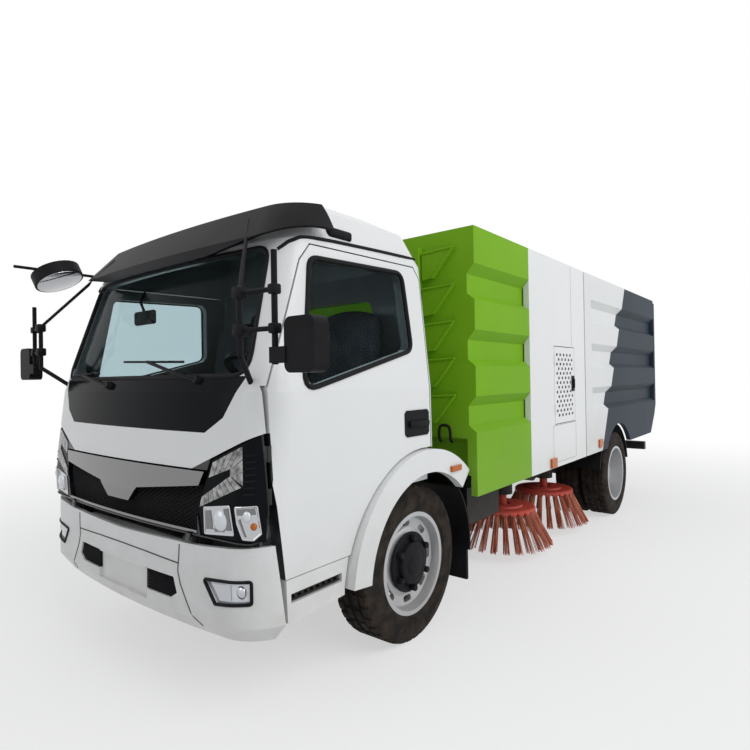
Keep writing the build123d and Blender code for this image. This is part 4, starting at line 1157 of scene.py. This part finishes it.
# %% Door trim
WINDOW = [(835, 1322), (75, 1508), (100, 1893), (742, 1872)]
HANDLE = [(-30, 1072), (150, 1072), (165, 1087), (165, 1188), (150, 1203), (-30, 1203), (-45, 1188), (-45, 1087)]
GUTTER = [(845, 1905), (817, 1935), (775, 1958), (596, 1972), (280, 1986), (-71, 1998)]
window_seal = line_on(rounded(grown(WINDOW, 7), 57, 6), "door_left", False, 0.0, 0.012, True)
both_hands(window_seal, "window_seal", seal_rubber, "door_", 40)
handle_y = on_side("door_left", 60, 1137).y
plate = patch(HANDLE, "door_left", False, 0.0002, 0.005)
lever = block((AX - 0.030, AX + 0.138), (handle_y + 0.004, handle_y + 0.022), (1.118, 1.150), 0.007)
both_hands(join([plate, lever]), "door_handle", black_plastic, "door_", 35)
gutter = line_on(along(GUTTER), "cab_shell", False, 0.003, 0.008)
both_hands(gutter, "roof_gutter", seal_rubber, "cab", 40)
lamp_y = on_side("cab_shell", 522, 2018).y
capsule = block((AX + 0.445, AX + 0.600), (lamp_y - 0.012, lamp_y + 0.022), (1.995, 2.040), 0.014, 3)
both_hands(capsule, "roof_side_lamp", black_plastic, "cab", 40)
TREAD_X, TREAD_Y, TREAD_PITCH, TREAD_BARS = (AX + 0.626, AX + 0.908), (0.881, 0.904), 0.034, 9
tread = [block(TREAD_X, TREAD_Y, z, 0.002) for z in ((0.506, 0.513), (0.527, 0.534))]
for k in range(TREAD_BARS):
    start = AX + 0.632 + TREAD_PITCH * k
    tread.append(block((start, start + 0.012), (0.882, 0.902), (0.512, 0.528), 0.002))
both_hands(join(tread), "step_tread", frame_black, "cab", 35)

# %% [markdown]
# ## Mirrors
# Clamps hold the two cross bars of each mirror stand, and the looking glass is on the rear face of each head and on the
# lower face of the round mirror over the right corner. Inside, a small mirror hangs behind the windscreen.

# %% Mirrors
BAR_HEIGHTS = (1.680, 1.545)
# columns: ahead of the axle, left of the middle, half size, bevel
CLAMPS = ((1.125, 0.900, 0.022, 0.008), (1.100, 1.060, 0.018, 0.006))
clamps = [block((AX + a - half, AX + a + half), (y - half, y + half), (z - half, z + half), bevel)
          for a, y, half, bevel in CLAMPS for z in BAR_HEIGHTS]
both_hands(join(clamps), "mirror_clamps", black_plastic, "cab", 35)
looking = block((AX + 1.0365, AX + 1.0405), (1.130, 1.246), (1.404, 1.564), 0.0015)
both_hands(looking, "mirror_glass", chrome, "cab", 35)
ROUND_FACE, ROUND_BACK, ROUND_RADIUS = at(1072, -772, 1935), at(1085, -795, 1990), 0.125
dish = primitive(bpy.ops.mesh.primitive_cylinder_add, ROUND_FACE - ROUND_BACK, 0.0015, 2, vertices=48,
                 radius=ROUND_RADIUS * 0.92, depth=0.008, location=ROUND_FACE)
settle(dish, "round_mirror_glass", chrome, "cab", 35)
inside_mirror = block((AX + 0.842, AX + 0.868), (-0.350, -0.156), (1.668, 1.742), 0.012, 3)
stem = tube([at(858, -253, 1735), at(880, -253, 1790), at(852, -253, 1840)], 0.007)
settle(join([inside_mirror, stem]), "inside_mirror", black_plastic, "cab", 40)

# %% [markdown]
# ## Seats
# The driver has a seat of their own and beside it is a bench for two. A seat is a plinth, a cushion and a leaning
# back. Foam under cloth is crowned in the middle of each face and falls away to its edges and corners, so each pad is
# a divided cube whose points are moved by how far they are from its middle, then smoothed by a Subdivision Surface.

# %% Seats
EDGE_FALL = 0.035


def pad(size, crown, place, lean):
    """A crowned cushion of a given size, leaning about the axle's direction."""
    piece = primitive(bpy.ops.mesh.primitive_cube_add, size=2)
    edit()
    bpy.ops.mesh.subdivide(number_cuts=9)
    leave_edit()
    half = [s / 2 for s in size]
    for point in piece.data.vertices:
        u, v, w = point.co
        swell = [1 + crown * ((1 - b * b) * (1 - c * c) - 1) for b, c in ((v, w), (u, w), (u, v))]
        edge = 1 - EDGE_FALL * (u * u * v * v + v * v * w * w + w * w * u * u)
        point.co = [c * h * s * edge for c, h, s in zip((u, v, w), half, swell)]
    modify(piece, "SUBSURF", levels=1, render_levels=1)
    piece.rotation_euler = (0, lean, 0)
    piece.location = place
    apply_place(piece)
    return piece


CROWN, GAP, LEAN = 0.10, 0.012, math.radians(-9)
# columns: part, depth, height, middle ahead of the axle, middle above the ground, lean
PADS = (("cushion", 0.430, 0.165, 0.315, 1.102, 0), ("back", 0.130, 0.620, 0.072, 1.440, LEAN))
# columns: seat, right edge, left edge, places
SEATS = (("driver_seat", 0.200, 0.700, 1), ("bench_seat", -0.720, 0.150, 2))
for name, low, high, places in SEATS:
    plinth = block((AX + 0.070, AX + 0.490), (low + 0.03, high - 0.03), (0.858, 1.045), 0.012)
    settle(plinth, name + "_plinth", black_plastic, "cab", 35)
    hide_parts("seats")
    width = (high - low) / places
    for k in range(places):
        middle = low + (k + 0.5) * width
        for part, deep, tall, a, z, lean in PADS:
            item = pad((deep, width - GAP, tall), CROWN, (AX + a, middle, z), lean)
            settle(item, name + "_" + part + "_" + str(k + 1), seat_cloth, "cab", 60)
            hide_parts("seats")

# %% [markdown]
# ## Box fittings
# The middle housing is made of panels with thin joints, a lower door and the perforated hatch with its latch. On the
# green body's front wall each pressed gusset has a folded rim along its upper and its slanted edge, and low down is a
# grab handle. Rims and handle are round tubes.

# %% Box fittings
BOX_Y, JOINT_HALF = 1.000, 0.0015
LOWER_DOOR_X, LOWER_DOOR_Z, PANEL_Z = (AX - 2.070, AX - 1.595), (0.720, 0.995), (1.590, 2.225)
GUSSET_TOPS = range(2120, 1200, -215)


def around(middle):
    return middle - JOINT_HALF, middle + JOINT_HALF


joint_y = (BOX_Y - 0.0005, BOX_Y + 0.0008)
joints = [block(around(AX - 2.000), joint_y, PANEL_Z)]
joints += [block(around(x), joint_y, LOWER_DOOR_Z) for x in reversed(LOWER_DOOR_X)]
joints += [block(LOWER_DOOR_X, joint_y, around(z)) for z in LOWER_DOOR_Z]
both_hands(join(joints), "panel_joints", panel_grey, "chassis")
rims = []
for top in GUSSET_TOPS:
    for edge in (((880, top), (662, top - 10)), ((872, top - 6), (738, top - 163))):
        front = [cast("tank_body", at(-300, *p), (-1, 0, 0)) for p in along(edge, 6)]
        proud = max(p.x for p in front) + 0.002
        rims.append(tube([(proud, p.y, p.z) for p in front], 0.007, 8))
handle = tube([at(-434, 760, 985), at(-412, 760, 988), at(-409, 762, 1078), at(-409, 800, 1086), at(-409, 836, 1078),
               at(-412, 838, 988), at(-434, 838, 985)], 0.008, 8)
both_hands(join(rims), "gusset_rims", green_paint, "chassis", 40)
both_hands(handle, "front_wall_handle", black_plastic, "chassis", 40)
latch = join([block((AX - 2.040, AX - 1.985), (BOX_Y - 0.002, BOX_Y + 0.008), (1.240, 1.360), 0.003),
              block((AX - 2.024, AX - 2.001), (BOX_Y + 0.006, BOX_Y + 0.018), (1.262, 1.338), 0.005)])
both_hands(latch, "hatch_latch", black_plastic, "hatch_", 35)

# %% [markdown]
# ## Tail
# Seen from behind, each tail lamp has an amber and a clear part beside the red one, and the tailgate has a grab bar in
# each of its pressed panels. The lenses are bevelled blocks on the red lamp, and a bar is a bent round tube.

# %% Tail
lamp_low, lamp_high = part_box("rear_lamps")
lens_z = (lamp_low[2] + 0.007, lamp_high[2] - 0.007)
for label, finish, slot, lens_y in (("amber", lamp_amber, "lamp_amber", (0.770, 0.842)),
                                    ("clear", lamp_clear, "lamp_clear", (0.608, 0.668))):
    lens = block((lamp_low[0] - 0.005, lamp_low[0] + 0.003), lens_y, lens_z, 0.003)
    both_hands(lens, "tail_lens_" + label, finish, "chassis", 35)
BAR_Z = 1.35
# columns: behind the panel, aside from the bar's middle
BAR_PATH = ((-0.002, -0.10), (0.012, -0.095), (0.012, 0.0), (0.012, 0.095), (-0.002, 0.10))
bars = []
for y in (-0.62, 0.0, 0.62):
    panel_x = cast("tailgate", (-4, y, BAR_Z), (1, 0, 0)).x
    bars.append(tube([(panel_x - behind, y + aside, BAR_Z) for behind, aside in BAR_PATH], 0.007, 8))
settle(join(bars), "tailgate_bars", black_plastic, "tailgate", 40)

# %% Sizes
low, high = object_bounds()
print("visual box:", [round(v, 3) for v in low], [round(v, 3) for v in high])
